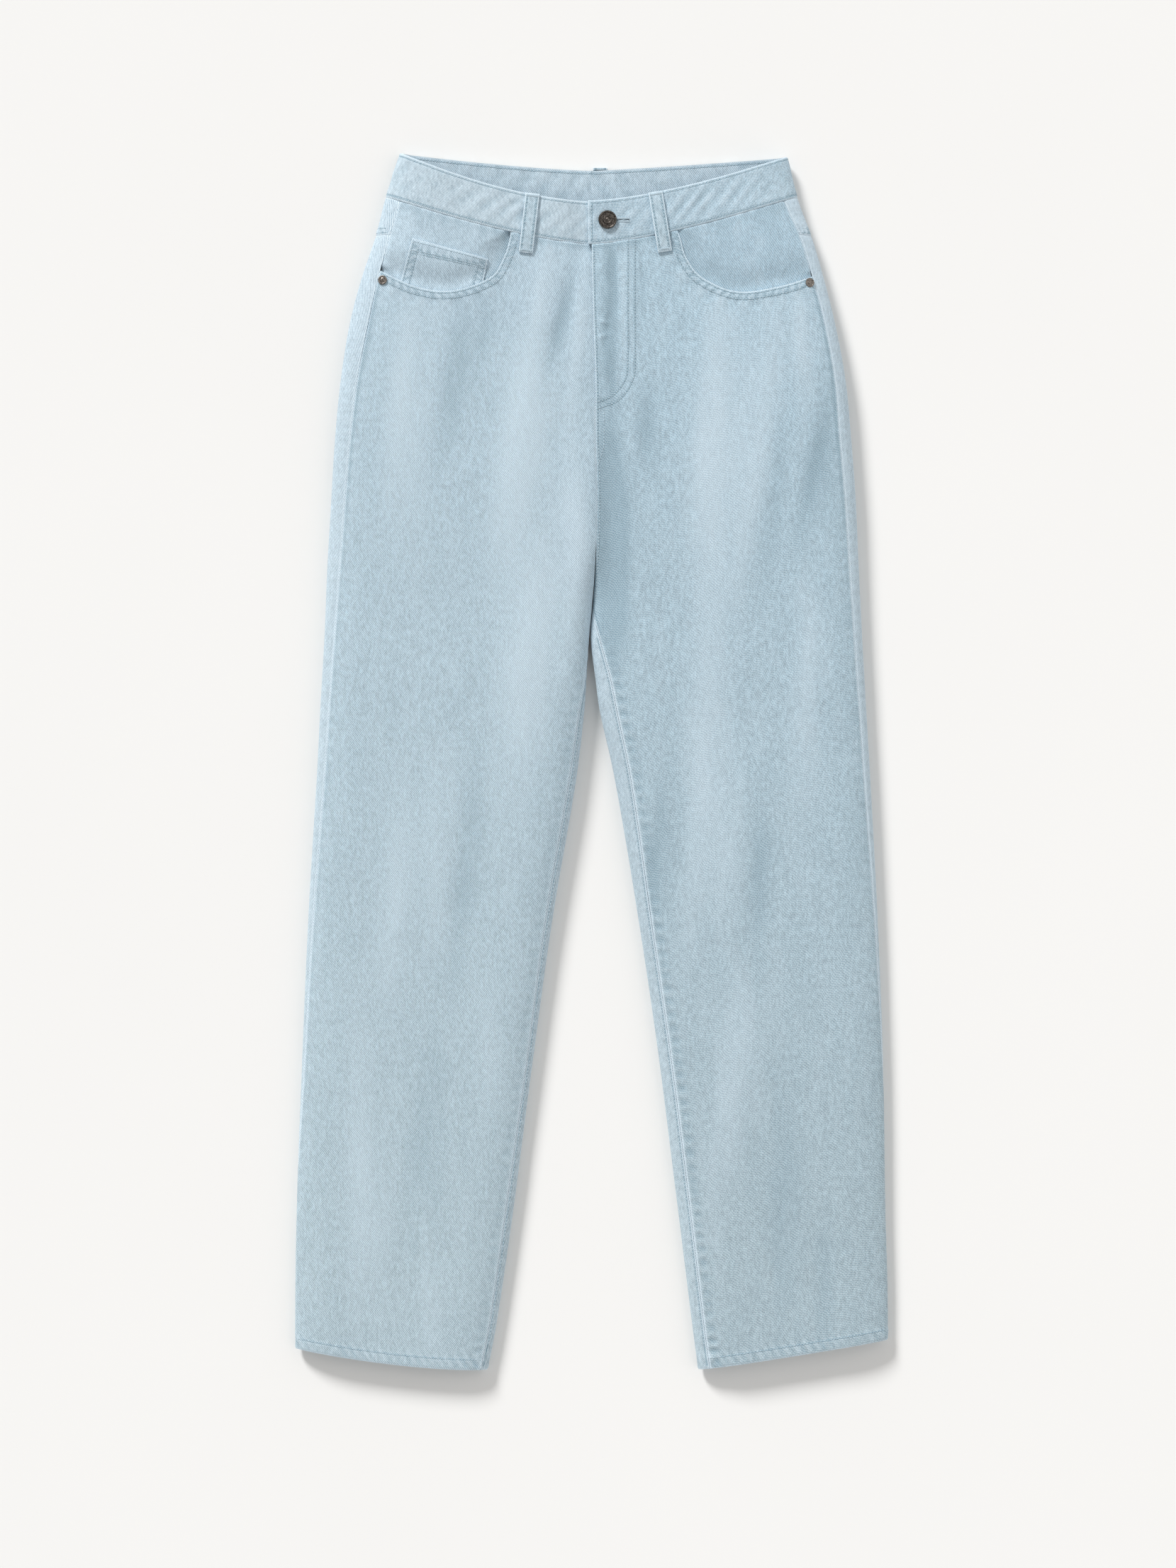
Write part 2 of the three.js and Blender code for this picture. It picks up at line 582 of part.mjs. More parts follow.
// The closed fly zip, hidden behind the fly: its tape, and the slider at the top.
const ZIP = { left: -10, right: 24, top: 466, bottom: 335, tape: 1.2, depth: CLOTH + LAID };
function zipTape() {
  const grid = steps(ZIP.top, ZIP.bottom, 8, true).map((y) =>
    steps(ZIP.left, ZIP.right, 3, true).map((x) => ({
      outer: onTop(LEFT, x, y, ZIP.depth),
      inner: onTop(LEFT, x, y, ZIP.depth + ZIP.tape),
    })),
  );
  return wall(grid, false);
}
const SLIDER = { x: 7, y: 455, thick: 2, clear: 0.2 };
function zipSlider() {
  const { x, y, thick, clear } = SLIDER;
  const outline = [[-4, -5], [4, -5], [5, 4], [2, 7], [-2, 7], [-5, 4]];
  const shape = new THREE.Shape(outline.map(([u, v]) => new THREE.Vector2(u, v)));
  const geometry = new THREE.ExtrudeGeometry(shape, { depth: thick, bevelEnabled: false });
  const seat = onTop(LEFT, x, y, ZIP.depth + ZIP.tape + GAP).z;
  return geometry.translate(x, y, seat - thick - clear);
}

const lathe = (profile, segments) =>
  new THREE.LatheGeometry(profile.map(([r, z]) => new THREE.Vector2(r, z)), segments).rotateX(PI2);

// The tack button: rim, sunk ring, raised middle, and the shank that goes through the buttonhole.
function button() {
  const { radius, shank, height } = BUTTON;
  const reach = BAND_WALL + LAID; // from the button's seat down to the right end of the band
  const profile = [
    [0, -reach], [shank, -reach], [shank, 0], [radius - 1.2, 0], [radius, 0.9], [radius, 2.2],
    [radius - 0.7, height - 0.3], [radius - 1.6, height - 0.3], [radius - 2, height - 1.1],
    [3.9, height - 1.1], [3.4, height - 0.2], [2.2, height - 0.2], [1.6, height - 0.6], [0, height - 0.4],
  ];
  return lathe(profile, 28);
}
function rivet() {
  const radius = 4.25;
  const profile = [
    [0, 0], [radius - 0.4, 0], [radius, 0.4], [radius - 0.5, 1.1], [2.6, 1.2], [2.1, 0.8], [0, 1],
  ];
  return lathe(profile, 20);
}

const DENIM = { roughness: 0.92, metalness: 0 };
const denim = (color) => new THREE.MeshStandardMaterial({ color, ...DENIM });
const metal = (color) => new THREE.MeshStandardMaterial({ color, roughness: 0.42, metalness: 0.9 });
const CLOTHS = {
  rightFront: denim(0xb7cbd6),
  leftFront: denim(0xb1c4cd),
  back: denim(0xb4c8d2),
  band: denim(0xb8cdd8),
  facing: denim(0xa9c4d3),
  trim: denim(0xafc3cc),
};
const GUNMETAL = metal(0x55504c);
const NICKEL = metal(0x9a938c);
const BRASS = metal(0xb9a273);

const group = new THREE.Group();
function add(name, geometry, material) {
  const mesh = new THREE.Mesh(geometry, material);
  mesh.name = name;
  group.add(mesh);
  return mesh;
}

add("front_right", cutFrontPanel(RIGHT, "right"), CLOTHS.rightFront);
add("front_left", cutFrontPanel(LEFT, "left"), CLOTHS.leftFront);
add("back_right", backPanel(RIGHT), CLOTHS.back);
add("back_left", backPanel(LEFT), CLOTHS.back);
add("yoke_right", yoke(RIGHT), CLOTHS.back);
add("yoke_left", yoke(LEFT), CLOTHS.back);
add("waistband", waistband(), CLOTHS.band);
add("pocket_facing_right", facing(RIGHT, "right"), CLOTHS.facing);
add("pocket_facing_left", facing(LEFT, "left"), CLOTHS.facing);
add("coin_pocket", coinPocket(RIGHT), CLOTHS.facing);
add("back_pocket_right", backPocket(RIGHT), CLOTHS.trim);
add("back_pocket_left", backPocket(LEFT), CLOTHS.trim);
add("belt_loop_front_right", frontLoop(RIGHT, [-54.3, 520], [-60.6, 465.2]), CLOTHS.trim);
add("belt_loop_front_left", frontLoop(LEFT, [58, 521.6], [66.9, 466.3]), CLOTHS.trim);
add("belt_loop_back_right", backLoop(RIGHT, -128, false), CLOTHS.trim);
add("belt_loop_back_left", backLoop(LEFT, 128, false), CLOTHS.trim);
add("belt_loop_back_centre", backLoop(LEFT, 7.6, true), CLOTHS.trim);
add("zip_tape", zipTape(), CLOTHS.trim);
add("zip_slider", zipSlider(), BRASS);

const buttonMesh = add("button", button(), GUNMETAL);
buttonMesh.position.copy(onTop(LEFT, BUTTON.x, BUTTON.y, -BAND_PROUD - LAID));

// A rivet's axis stands square on the cloth.
const RIVETS = { right: [-191.6, 440.6], left: [199.4, 438.4] };
for (const [name, h] of [["right", RIGHT], ["left", LEFT]]) {
  const [x, y] = RIVETS[name];
  const seat = onTop(h, x, y, -LAID);
  const normal = seat.clone().sub(onTop(h, x, y, 0)).normalize();
  const mesh = add(`rivet_${name}`, rivet(), NICKEL);
  mesh.position.copy(seat);
  mesh.quaternion.setFromUnitVectors(new THREE.Vector3(0, 0, 1), normal);
}

export default group;
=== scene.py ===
"""Straight five-pocket jeans of light denim, laid flat on their back.

Sizes are in millimetres and turn into metres where a mesh is made. X runs across the laid
garment, Y from the hems to the waist and Z up. Right and left are the wearer's.
"""

import logging
import math
from dataclasses import dataclass, field
from enum import Enum
from typing import Callable, Sequence

import bmesh
import bpy
import numpy as np
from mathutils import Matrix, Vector
from mathutils.bvhtree import BVHTree


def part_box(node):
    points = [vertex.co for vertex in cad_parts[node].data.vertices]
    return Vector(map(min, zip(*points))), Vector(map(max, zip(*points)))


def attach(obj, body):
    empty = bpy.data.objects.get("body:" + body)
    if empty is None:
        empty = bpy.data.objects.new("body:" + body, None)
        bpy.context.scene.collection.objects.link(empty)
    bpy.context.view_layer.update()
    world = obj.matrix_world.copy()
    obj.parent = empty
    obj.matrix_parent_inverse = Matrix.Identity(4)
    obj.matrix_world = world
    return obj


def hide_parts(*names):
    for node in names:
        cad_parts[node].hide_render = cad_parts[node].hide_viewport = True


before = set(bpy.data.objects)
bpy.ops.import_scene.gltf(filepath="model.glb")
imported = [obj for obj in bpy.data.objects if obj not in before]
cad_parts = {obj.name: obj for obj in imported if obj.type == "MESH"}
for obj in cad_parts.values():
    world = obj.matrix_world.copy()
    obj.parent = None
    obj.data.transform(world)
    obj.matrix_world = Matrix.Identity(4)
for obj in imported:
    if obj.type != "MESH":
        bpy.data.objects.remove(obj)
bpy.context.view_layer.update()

LOG = logging.getLogger("jeans")

MM = 0.001
BODY = "root"
HALF_PI = math.pi / 2

# Thickness of the cloth in its pieces, the least that a crease leaves of it, and what keeps them apart
CLOTH = 1.25
COIN_CLOTH = 1.1
BAND_WALL = 3.0
HEM_WALL = 2.4
THINNEST = 0.6
GAP = 0.08
LAID = 0.45

# How far the waistband stands out of the panels, and how deep the hem is
BAND_PROUD = 0.6
HEM_DEEP = 11.0

# How far in from its edge each row of sewing lies; the hem's row lies short of the hem's depth
POCKET_ROWS = (1.9, 7.0)
YOKE_ROWS = (1.6, 5.8)
BACK_POCKET_ROWS = (2.0, 8.0)
BAND_ROW = 2.6
INSEAM_ROW = 2.0
HEM_ROW_SHORT = 1.2

BUTTON_AT = (14.3, 495.7)

# How much paler on its ridges, from wear and painted light, and darker in its troughs, from painted shade,
# each millimetre of a large fold or a small crease turns the cloth
FOLD_TONE = 0.36
CREASE_TONE = 0.85

# From one ridge of a roped edge to the next
ROPE_LENGTH = 7.4

# In metres, how far round the rim of a wall the inner face's places on the cloth lie
RIM_TURN = 0.0013

# The laid section: width of the large and the small rolls, height of the fold's line as a share of
# the section's, and how far the back pockets lift the seat, between two levels
ROLL = 42.0
UNDER = 9.0
EDGE_SHARE = 0.45
SEAT_LIFT = 2.0
LIFT_FROM = 225.0
LIFT_TO = 262.0

# Levels along the garment; a row takes on the hem's curve from HEM_CURVE_FROM down
WAIST_SEAM = 518.0
CROTCH = 141.0
HEM_CURVE_FROM = -460.0
HEM_CURVE_OVER = 77.0
HEM_EDGE = -548.0
YOKE_SIDE = 483.0
YOKE_CENTRE = 440.0
YOKE_REACH = 188.0

SECTION_COLUMNS = ("y", "edge", "outseam", "inner", "inseam", "height", "roll")
RIGHT_SECTIONS = (
    (560, -175.6, 14.0, -0.7, 0, 20, 40),
    (518, -189.2, 14.5, -0.7, 0, 23, 40),
    (480, -199.1, 13.3, -0.4, 0, 25, 40),
    (440, -212.5, 15.7, 0.2, 0, 26, 40),
    (400, -222.7, 17.2, 1.3, 0, 26.5, 40),
    (350, -230.7, 15.5, 3.0, 0, 26.5, 38),
    (295, -236.0, 14.0, 3.4, 0, 26, 32),
    (243, -239.2, 12.9, 5.0, 0, 25.5, 25),
    (178, -243.1, 11.9, 3.0, 0, 24.5, 20),
    (141, -244.6, 10.6, 0.1, 0, 24, 20),
    (113, -245.8, 9.5, -2.6, 0, 24, 22),
    (75, -248.0, 8.9, -5.2, 1.5, 24, 26),
    (48, -249.6, 8.4, -6.9, 4.2, 23.5, 32),
    (-17, -252.9, 7.2, -14.6, 6, 23, 40),
    (-147, -260.7, 4.8, -36.5, 6.1, 21.5, 40),
    (-277, -266.4, 2.6, -54.6, 5.2, 20, 40),
    (-407, -271.2, -0.8, -71.5, 6.7, 18.5, 40),
    (-521, -272.8, -1.6, -88.3, 6.4, 17, 38),
    (-560, -271.6, -1.6, -96.2, 6.4, 16, 38),
)
LEFT_SECTIONS = (
    (560, 178.0, 14.0, -0.7, 0, 20, 42),
    (518, 188.6, 14.0, -0.7, 0, 23, 42),
    (480, 202.4, 11.0, -0.4, 0, 25, 42),
    (440, 213.9, 10.4, 0.2, 0, 26, 42),
    (400, 223.8, 9.9, 1.3, 0, 26.5, 42),
    (350, 233.0, 10.1, 3.0, 0, 26.5, 44),
    (295, 238.2, 10.7, 3.4, 0, 26, 46),
    (243, 242.1, 10.0, 5.0, 0, 25.5, 46),
    (178, 245.1, 8.8, 3.0, 0, 24.5, 46),
    (141, 246.9, 8.1, 0.5, 0, 24, 46),
    (113, 248.3, 7.6, -1.2, 8, 24, 46),
    (75, 250.4, 7.0, 3.4, 13.6, 24, 46),
    (48, 251.9, 6.5, 6.9, 15.4, 23.5, 44),
    (-17, 255.8, 5.8, 21.1, 14.5, 23, 42),
    (-147, 262.6, 2.9, 43.1, 11.3, 21.5, 42),
    (-277, 267.5, 0.3, 62.1, 11, 20, 42),
    (-407, 269.4, -1.2, 78.5, 11, 18.5, 42),
    (-521, 272.0, -1.6, 92.6, 10.5, 17, 40),
    (-560, 269.0, -1.6, 98.0, 10.5, 16, 40),
)


@dataclass(frozen=True)
class Fold:
    """A soft ridge, or a trough where rise is negative, along a straight run of the top cloth."""

    x: float
    y: float
    turn: float
    reach: float
    width: float
    rise: float

    def height(self, x: np.ndarray, y: np.ndarray) -> np.ndarray:
        """The fold's height at each point."""
        turn = math.radians(self.turn)
        dx, dy = x - self.x, y - self.y
        along = (dx * math.cos(turn) + dy * math.sin(turn)) / self.reach
        across = (dy * math.cos(turn) - dx * math.sin(turn)) / self.width
        return self.rise * np.exp(-along * along - across * across)


LARGE_FOLDS = (
    Fold(-12, 196, 90, 84, 14, 2.4),
    Fold(15, 206, 91, 90, 13, -3),
    Fold(-23, 398, 89, 48, 9, -1),
    Fold(-56, 340, 85, 110, 20, 1.5),
    Fold(-62, 120, 86, 110, 26, 1.3),
    Fold(-150, 290, 84, 130, 27, 1.6),
    Fold(-140, -110, 88, 105, 24, 1.4),
    Fold(-200, -420, 90, 95, 20, 0.9),
    Fold(21, 412, 92, 60, 7, -0.9),
    Fold(40, 425, 90, 40, 9, 0.6),
    Fold(37, 300, 88, 44, 11, 0.9),
    Fold(154, 290, 81, 140, 34, 2.1),
    Fold(214, 250, 82, 80, 12, -1),
    Fold(128, -70, 87, 92, 22, 1.3),
    Fold(80, -80, 82, 62, 14, -0.9),
    Fold(144, -260, 86, 85, 20, 0.9),
)


def smooth(value: np.ndarray, low: float | np.ndarray, high: float | np.ndarray) -> np.ndarray:
    """A smooth step from 0 at low to 1 at high."""
    t = np.clip((value - low) / (high - low), 0, 1)
    return t * t * (3 - 2 * t)


def bell(value: np.ndarray, width: float) -> np.ndarray:
    """A bell curve of value, 1 at zero and small past width."""
    return np.exp(-((value / width) ** 2))


def arch(distance: np.ndarray, width: np.ndarray | float) -> np.ndarray:
    """A quarter round: 0 at distance 0 and 1 from width on."""
    return np.sqrt(1 - (1 - np.clip(distance / width, 0, 1)) ** 2)


def arch_angle(distance: np.ndarray, width: np.ndarray | float) -> np.ndarray:
    """Where on a quarter round a distance lies, from 0 to 1."""
    return np.arccos(1 - np.clip(distance / width, 0, 1)) / HALF_PI


def seat_lift(y: np.ndarray) -> np.ndarray:
    """How far the seat is held up by its back pockets."""
    return SEAT_LIFT * smooth(y, LIFT_FROM, LIFT_TO)


class Column:
    """A smooth curve through one column of a section table."""

    def __init__(self, sections: Sequence[Sequence[float]], name: str) -> None:
        """Take the named column against y.

        Args:
            sections: Rows of the table.
            name: The column's name.
        """
        k = SECTION_COLUMNS.index(name)
        rows = sorted((row[0], row[k]) for row in sections)
        self.y = np.array([row[0] for row in rows], float)
        self.v = np.array([row[1] for row in rows], float)
        i = np.arange(len(rows))
        a, b = np.maximum(i - 1, 0), np.minimum(i + 1, len(rows) - 1)
        self.slope = (self.v[b] - self.v[a]) / (self.y[b] - self.y[a])

    def __call__(self, at: np.ndarray) -> np.ndarray:
        """The column's value at each level."""
        i = np.clip(np.searchsorted(self.y, at), 1, len(self.y) - 1)
        h = self.y[i] - self.y[i - 1]
        t = np.clip((at - self.y[i - 1]) / h, 0, 1)
        start = self.v[i - 1] * (1 + 2 * t) * (1 - t) ** 2 + self.slope[i - 1] * h * t * (1 - t) ** 2
        return start + self.v[i] * t * t * (3 - 2 * t) + self.slope[i] * h * t * t * (t - 1)


@dataclass(frozen=True)
class Rise:
    """A low curve across the garment that rises towards the side fold."""

    low: float
    rise: float
    at: float
    power: float
    start: float = 0.0

    def __call__(self, x: np.ndarray) -> np.ndarray:
        """The curve's level at each x."""
        run = np.maximum(np.abs(x) - self.start, 0) / (self.at - self.start)
        return self.low + self.rise * run**self.power


BACK_SEAM = Rise(503, 15, 189, 1.4)


def yoke_line(x: np.ndarray) -> np.ndarray:
    """The yoke seam's level, lowest at the centre back."""
    return YOKE_CENTRE + (YOKE_SIDE - YOKE_CENTRE) * np.minimum(np.abs(x) / YOKE_REACH, 1)


class Half:
    """One half of the laid garment, as a surface on which every piece lies.

    Places round a section are numbered: 0 the inner fold or centre seam, 0 to 1 the roll up from
    it, 1 to 2 the flat top, 2 to 3 the roll down to the outer fold, 3 to 4 the small roll under
    it, 4 to 5 the flat underside, 5 to 6 the small roll up to the inner fold, then 0 again.
    """

    def __init__(
        self, side: int, sections: Sequence[Sequence[float]], drop_from: float, curves: dict[str, Rise]
    ) -> None:
        """Set up the half.

        Args:
            side: -1 for the wearer's right, 1 for the left.
            sections: Its section table.
            drop_from: Level from which the top falls towards the crotch.
            curves: Its waist seam, waistband tops and hem.
        """
        self.side = side
        self.drop_from = drop_from
        self.name = "right" if side < 0 else "left"
        self.front_seam, self.front_top = curves["front_seam"], curves["front_top"]
        self.back_top, self.hem = curves["back_top"], curves["hem"]
        for name in SECTION_COLUMNS[1:]:
            setattr(self, name, Column(sections, name))

    def section(self, y: np.ndarray, place: np.ndarray) -> tuple[np.ndarray, np.ndarray]:
        """The section's x and z at each level and place.

        Args:
            y: Levels.
            place: Places round the section.

        Returns:
            x and z.
        """
        edge, inner, roll = self.edge(y), self.inner(y), self.roll(y)
        is_open = y > CROTCH
        p = np.where(~is_open & (place >= 6), place - 6, np.minimum(place, 6))
        width = np.abs(edge - inner)
        w = np.select(
            [p < 0, p < 1, p < 2, p < 3, p < 4, p < 5],
            [
                np.where(is_open, 100 * p, UNDER * (1 - np.cos(p * HALF_PI))),
                roll * (1 - np.cos(p * HALF_PI)),
                roll + (width - ROLL - roll) * (p - 1),
                width - ROLL * (1 - np.cos((3 - p) * HALF_PI)),
                width - UNDER * (1 - np.cos((p - 3) * HALF_PI)),
                width - UNDER + (2 * UNDER - width) * (p - 4),
            ],
            UNDER * (1 - np.cos((6 - p) * HALF_PI)),
        )
        x = inner + self.side * w
        height = self.height(y)
        fold = EDGE_SHARE * height
        below = (p > 3) | ((p < 0) & ~is_open)
        lift = seat_lift(y)
        close = 1 - smooth(y, CROTCH, CROTCH + 26)
        rise = np.maximum(1 - arch(width - w, UNDER), close * (1 - arch(w, UNDER)))
        drop = 1 - smooth(y, CROTCH, self.drop_from)
        swell = arch(width - w, ROLL) * (1 - drop * (1 - arch(np.maximum(w, 0), roll)))
        folds = sum(one.height(x, y) for one in LARGE_FOLDS)
        high = fold + (height - fold + folds) * swell
        return x, np.where(below, lift + (fold - lift) * rise, high)

    def surface(self, y: np.ndarray, place: np.ndarray, rise: np.ndarray | float) -> np.ndarray:
        """Points at places of the outer face, moved out along it by rise.

        Args:
            y: Levels.
            place: Places round the section.
            rise: Distance out of the face; negative is into the cloth.

        Returns:
            Points, with x, y and z last.
        """
        step = 0.01
        start = np.where((y > CROTCH) & (place >= 0), 0.0, -9.0)
        ax, az = self.section(y, np.maximum(place - step, start))
        bx, bz = self.section(y, place + step)
        x, z = self.section(y, place)
        length = np.maximum(np.hypot(bx - ax, bz - az), 1e-9)
        nx = -self.side * (bz - az) / length
        nz = self.side * (bx - ax) / length
        return np.stack([x + nx * rise, y + 0 * x, z + nz * rise], -1)

    def place_at(self, x: np.ndarray, y: np.ndarray) -> np.ndarray:
        """The place on top that lies at x."""
        width, roll = np.abs(self.edge(y) - self.inner(y)), self.roll(y)
        w = self.side * (x - self.inner(y))
        return np.select(
            [w < 0, w < roll, width - w < ROLL],
            [w / 100, arch_angle(w, roll), 3 - arch_angle(width - w, ROLL)],
            1 + (w - roll) / (width - ROLL - roll),
        )

    def along(self, y: np.ndarray, place: np.ndarray, shift: float) -> np.ndarray:
        """A place moved on along the section by shift."""
        step = 0.005
        ax, az = self.section(y, place - step)
        bx, bz = self.section(y, place + step)
        return place + shift * 2 * step / np.maximum(np.hypot(bx - ax, bz - az), 1e-6)

    def outseam_place(self, y: np.ndarray, shift: float) -> np.ndarray:
        """The outseam's place, moved on by shift."""
        inset = self.outseam(y)
        place = np.where(inset < 0, 3 + arch_angle(-inset, UNDER), 3 - arch_angle(inset, ROLL))
        return self.along(y, place, shift)

    def inner_end(self, y: np.ndarray, on_top: bool) -> np.ndarray:
        """Where a strip ends at the centre seam or the inseam, half a gap short of it."""
        inseam = arch_angle(np.maximum(self.inseam(y), 0), self.roll(y))
        if on_top:
            seam = self.place_at(self.inner(y) + self.side * GAP / 2, y)
            return np.where(y > CROTCH, seam, self.along(y, inseam + 0.005, GAP / 2))
        return np.where(y > CROTCH, 6 - arch_angle(GAP / 2, UNDER), 6 + self.along(y, inseam, -GAP / 2))


RIGHT = Half(
    -1,
    RIGHT_SECTIONS,
    206,
    {
        "front_seam": Rise(473.5, 44.5, 189.2, 1.45),
        "front_top": Rise(513.2, 45.4, 176, 1.7),
        "back_top": Rise(543.2, 15.4, 176, 1.4),
        "hem": Rise(-558.9, 19.4, 271.5, 1.7, 105),
    },
)
LEFT = Half(
    1,
    LEFT_SECTIONS,
    206,
    {
        "front_seam": Rise(473.5, 44.5, 188.6, 1.4),
        "front_top": Rise(513.8, 41.2, 179, 1.5),
        "back_top": Rise(543.2, 11.8, 179, 1.2),
        "hem": Rise(-558.5, 27, 271, 1.1, 100),
    },
)
HALVES = (RIGHT, LEFT)


class SoftNoise:
    """Seeded smooth noise from -1 to 1."""

    SIZE = 64

    def __init__(self, seed: int) -> None:
        """Fill the lattice from a seed."""
        self.lattice = np.random.default_rng(seed).uniform(-1, 1, (self.SIZE, self.SIZE))

    def __call__(self, u: np.ndarray, v: np.ndarray | float = 0.0) -> np.ndarray:
        """The noise at each (u, v), with one lattice cell a unit."""
        u, v = np.broadcast_arrays(np.asarray(u, float), np.asarray(v, float))
        iu, iv = np.floor(u).astype(int), np.floor(v).astype(int)
        fu, fv = u - iu, v - iv
        fu, fv = fu * fu * (3 - 2 * fu), fv * fv * (3 - 2 * fv)
        a, b = iu % self.SIZE, (iu + 1) % self.SIZE
        c, d = iv % self.SIZE, (iv + 1) % self.SIZE
        g = self.lattice
        low = g[a, c] * (1 - fu) + g[b, c] * fu
        high = g[a, d] * (1 - fu) + g[b, d] * fu
        return low * (1 - fv) + high * fv


def ripple(along: np.ndarray, length: float, noise: SoftNoise) -> np.ndarray:
    """An uneven wave along a seam, as puckers make.

    Args:
        along: Distance along the seam.
        length: Mean length of a pucker.
        noise: What makes it uneven.

    Returns:
        The wave, about -1 to 1.
    """
    drift = 0.42 * noise(along / (1.7 * length), 3.5)
    swell = 0.62 + 0.38 * noise(along / (2.6 * length), 11.5)
    return np.sin(2 * np.pi * (along / length + drift)) * swell


class Line:
    """A smooth line across the garment, through a few points."""

    def __init__(self, points: Sequence[Sequence[float]], steps: int = 96) -> None:
        """Take evenly spaced parameters of a Catmull-Rom curve.

        Args:
            points: The points that the line passes.
            steps: How many stretches it gets.
        """
        p = np.array(points, float)
        t = np.linspace(0, len(p) - 1, steps + 1)
        i = np.minimum(t.astype(int), len(p) - 2)
        f = (t - i)[:, None]
        p0, p1 = p[np.maximum(i - 1, 0)], p[i]
        p2, p3 = p[i + 1], p[np.minimum(i + 2, len(p) - 1)]
        v0, v1 = (p2 - p0) / 2, (p3 - p1) / 2
        self.points = (
            (2 * p1 - 2 * p2 + v0 + v1) * f**3 + (-3 * p1 + 3 * p2 - 2 * v0 - v1) * f**2 + v0 * f + p1
        )
        steps_long = np.linalg.norm(np.diff(self.points, axis=0), axis=1)
        self.arc = np.concatenate([[0], np.cumsum(steps_long)])

    def nearest(self, x: np.ndarray, y: np.ndarray, side: int) -> tuple[np.ndarray, ...]:
        """The nearest place on the line to each point.

        Args:
            x: Points' x.
            y: Points' y.
            side: Which side counts as positive.

        Returns:
            Signed distance, distance along the line, and the nearest x and y.
        """
        best = np.full(x.shape, np.inf)
        arc, nx, ny = np.zeros(x.shape), np.zeros(x.shape), np.zeros(x.shape)
        sign = np.ones(x.shape)
        for a, b, start in zip(self.points[:-1], self.points[1:], self.arc[:-1]):
            d = b - a
            long = float(np.hypot(*d))
            t = np.clip(((x - a[0]) * d[0] + (y - a[1]) * d[1]) / long**2, 0, 1)
            qx, qy = a[0] + t * d[0], a[1] + t * d[1]
            away = np.hypot(x - qx, y - qy)
            near = away < best
            best = np.where(near, away, best)
            arc = np.where(near, start + t * long, arc)
            nx, ny = np.where(near, qx, nx), np.where(near, qy, ny)
            turn = side * (d[0] * (y - a[1]) - d[1] * (x - a[0]))
            sign = np.where(near, np.where(turn > 0, 1.0, -1.0), sign)
        return sign * best, arc, nx, ny

    def moved(self, shift: float, side: int) -> np.ndarray:
        """The line's points moved sideways by shift, positive to the nearest's positive side."""
        d = np.gradient(self.points, axis=0)
        d /= np.linalg.norm(d, axis=1)[:, None]
        return self.points + shift * side * np.stack([-d[:, 1], d[:, 0]], -1)


OPENINGS = {
    "right": Line(
        ((-74.4, 486), (-75.7, 477), (-81, 461), (-93.3, 443), (-127.6, 431), (-161, 434.5), (-196, 450.5))
    ),
    "left": Line(((77.8, 487), (81, 479), (86.5, 461), (101, 443), (133, 430), (171, 434.5), (203, 444.5))),
}


def new_object(name: str, vertices: np.ndarray, faces: Sequence, sharp: float = 48.0) -> bpy.types.Object:
    """A smooth-shaded mesh object at the origin, from points in millimetres.

    Args:
        name: Object's name.
        vertices: Points in millimetres.
        faces: Lists of point numbers.
        sharp: Angle in degrees past which an edge stays sharp.

    Returns:
        The object, linked to the scene.
    """
    mesh = bpy.data.meshes.new(name)
    listed = faces.tolist() if isinstance(faces, np.ndarray) else faces
    mesh.from_pydata((np.asarray(vertices) * MM).tolist(), [], listed)
    mesh.update()
    mesh.polygons.foreach_set("use_smooth", np.ones(len(mesh.polygons), bool))
    mesh.set_sharp_from_angle(angle=math.radians(sharp))
    made = bpy.data.objects.new(name, mesh)
    bpy.context.collection.objects.link(made)
    return made


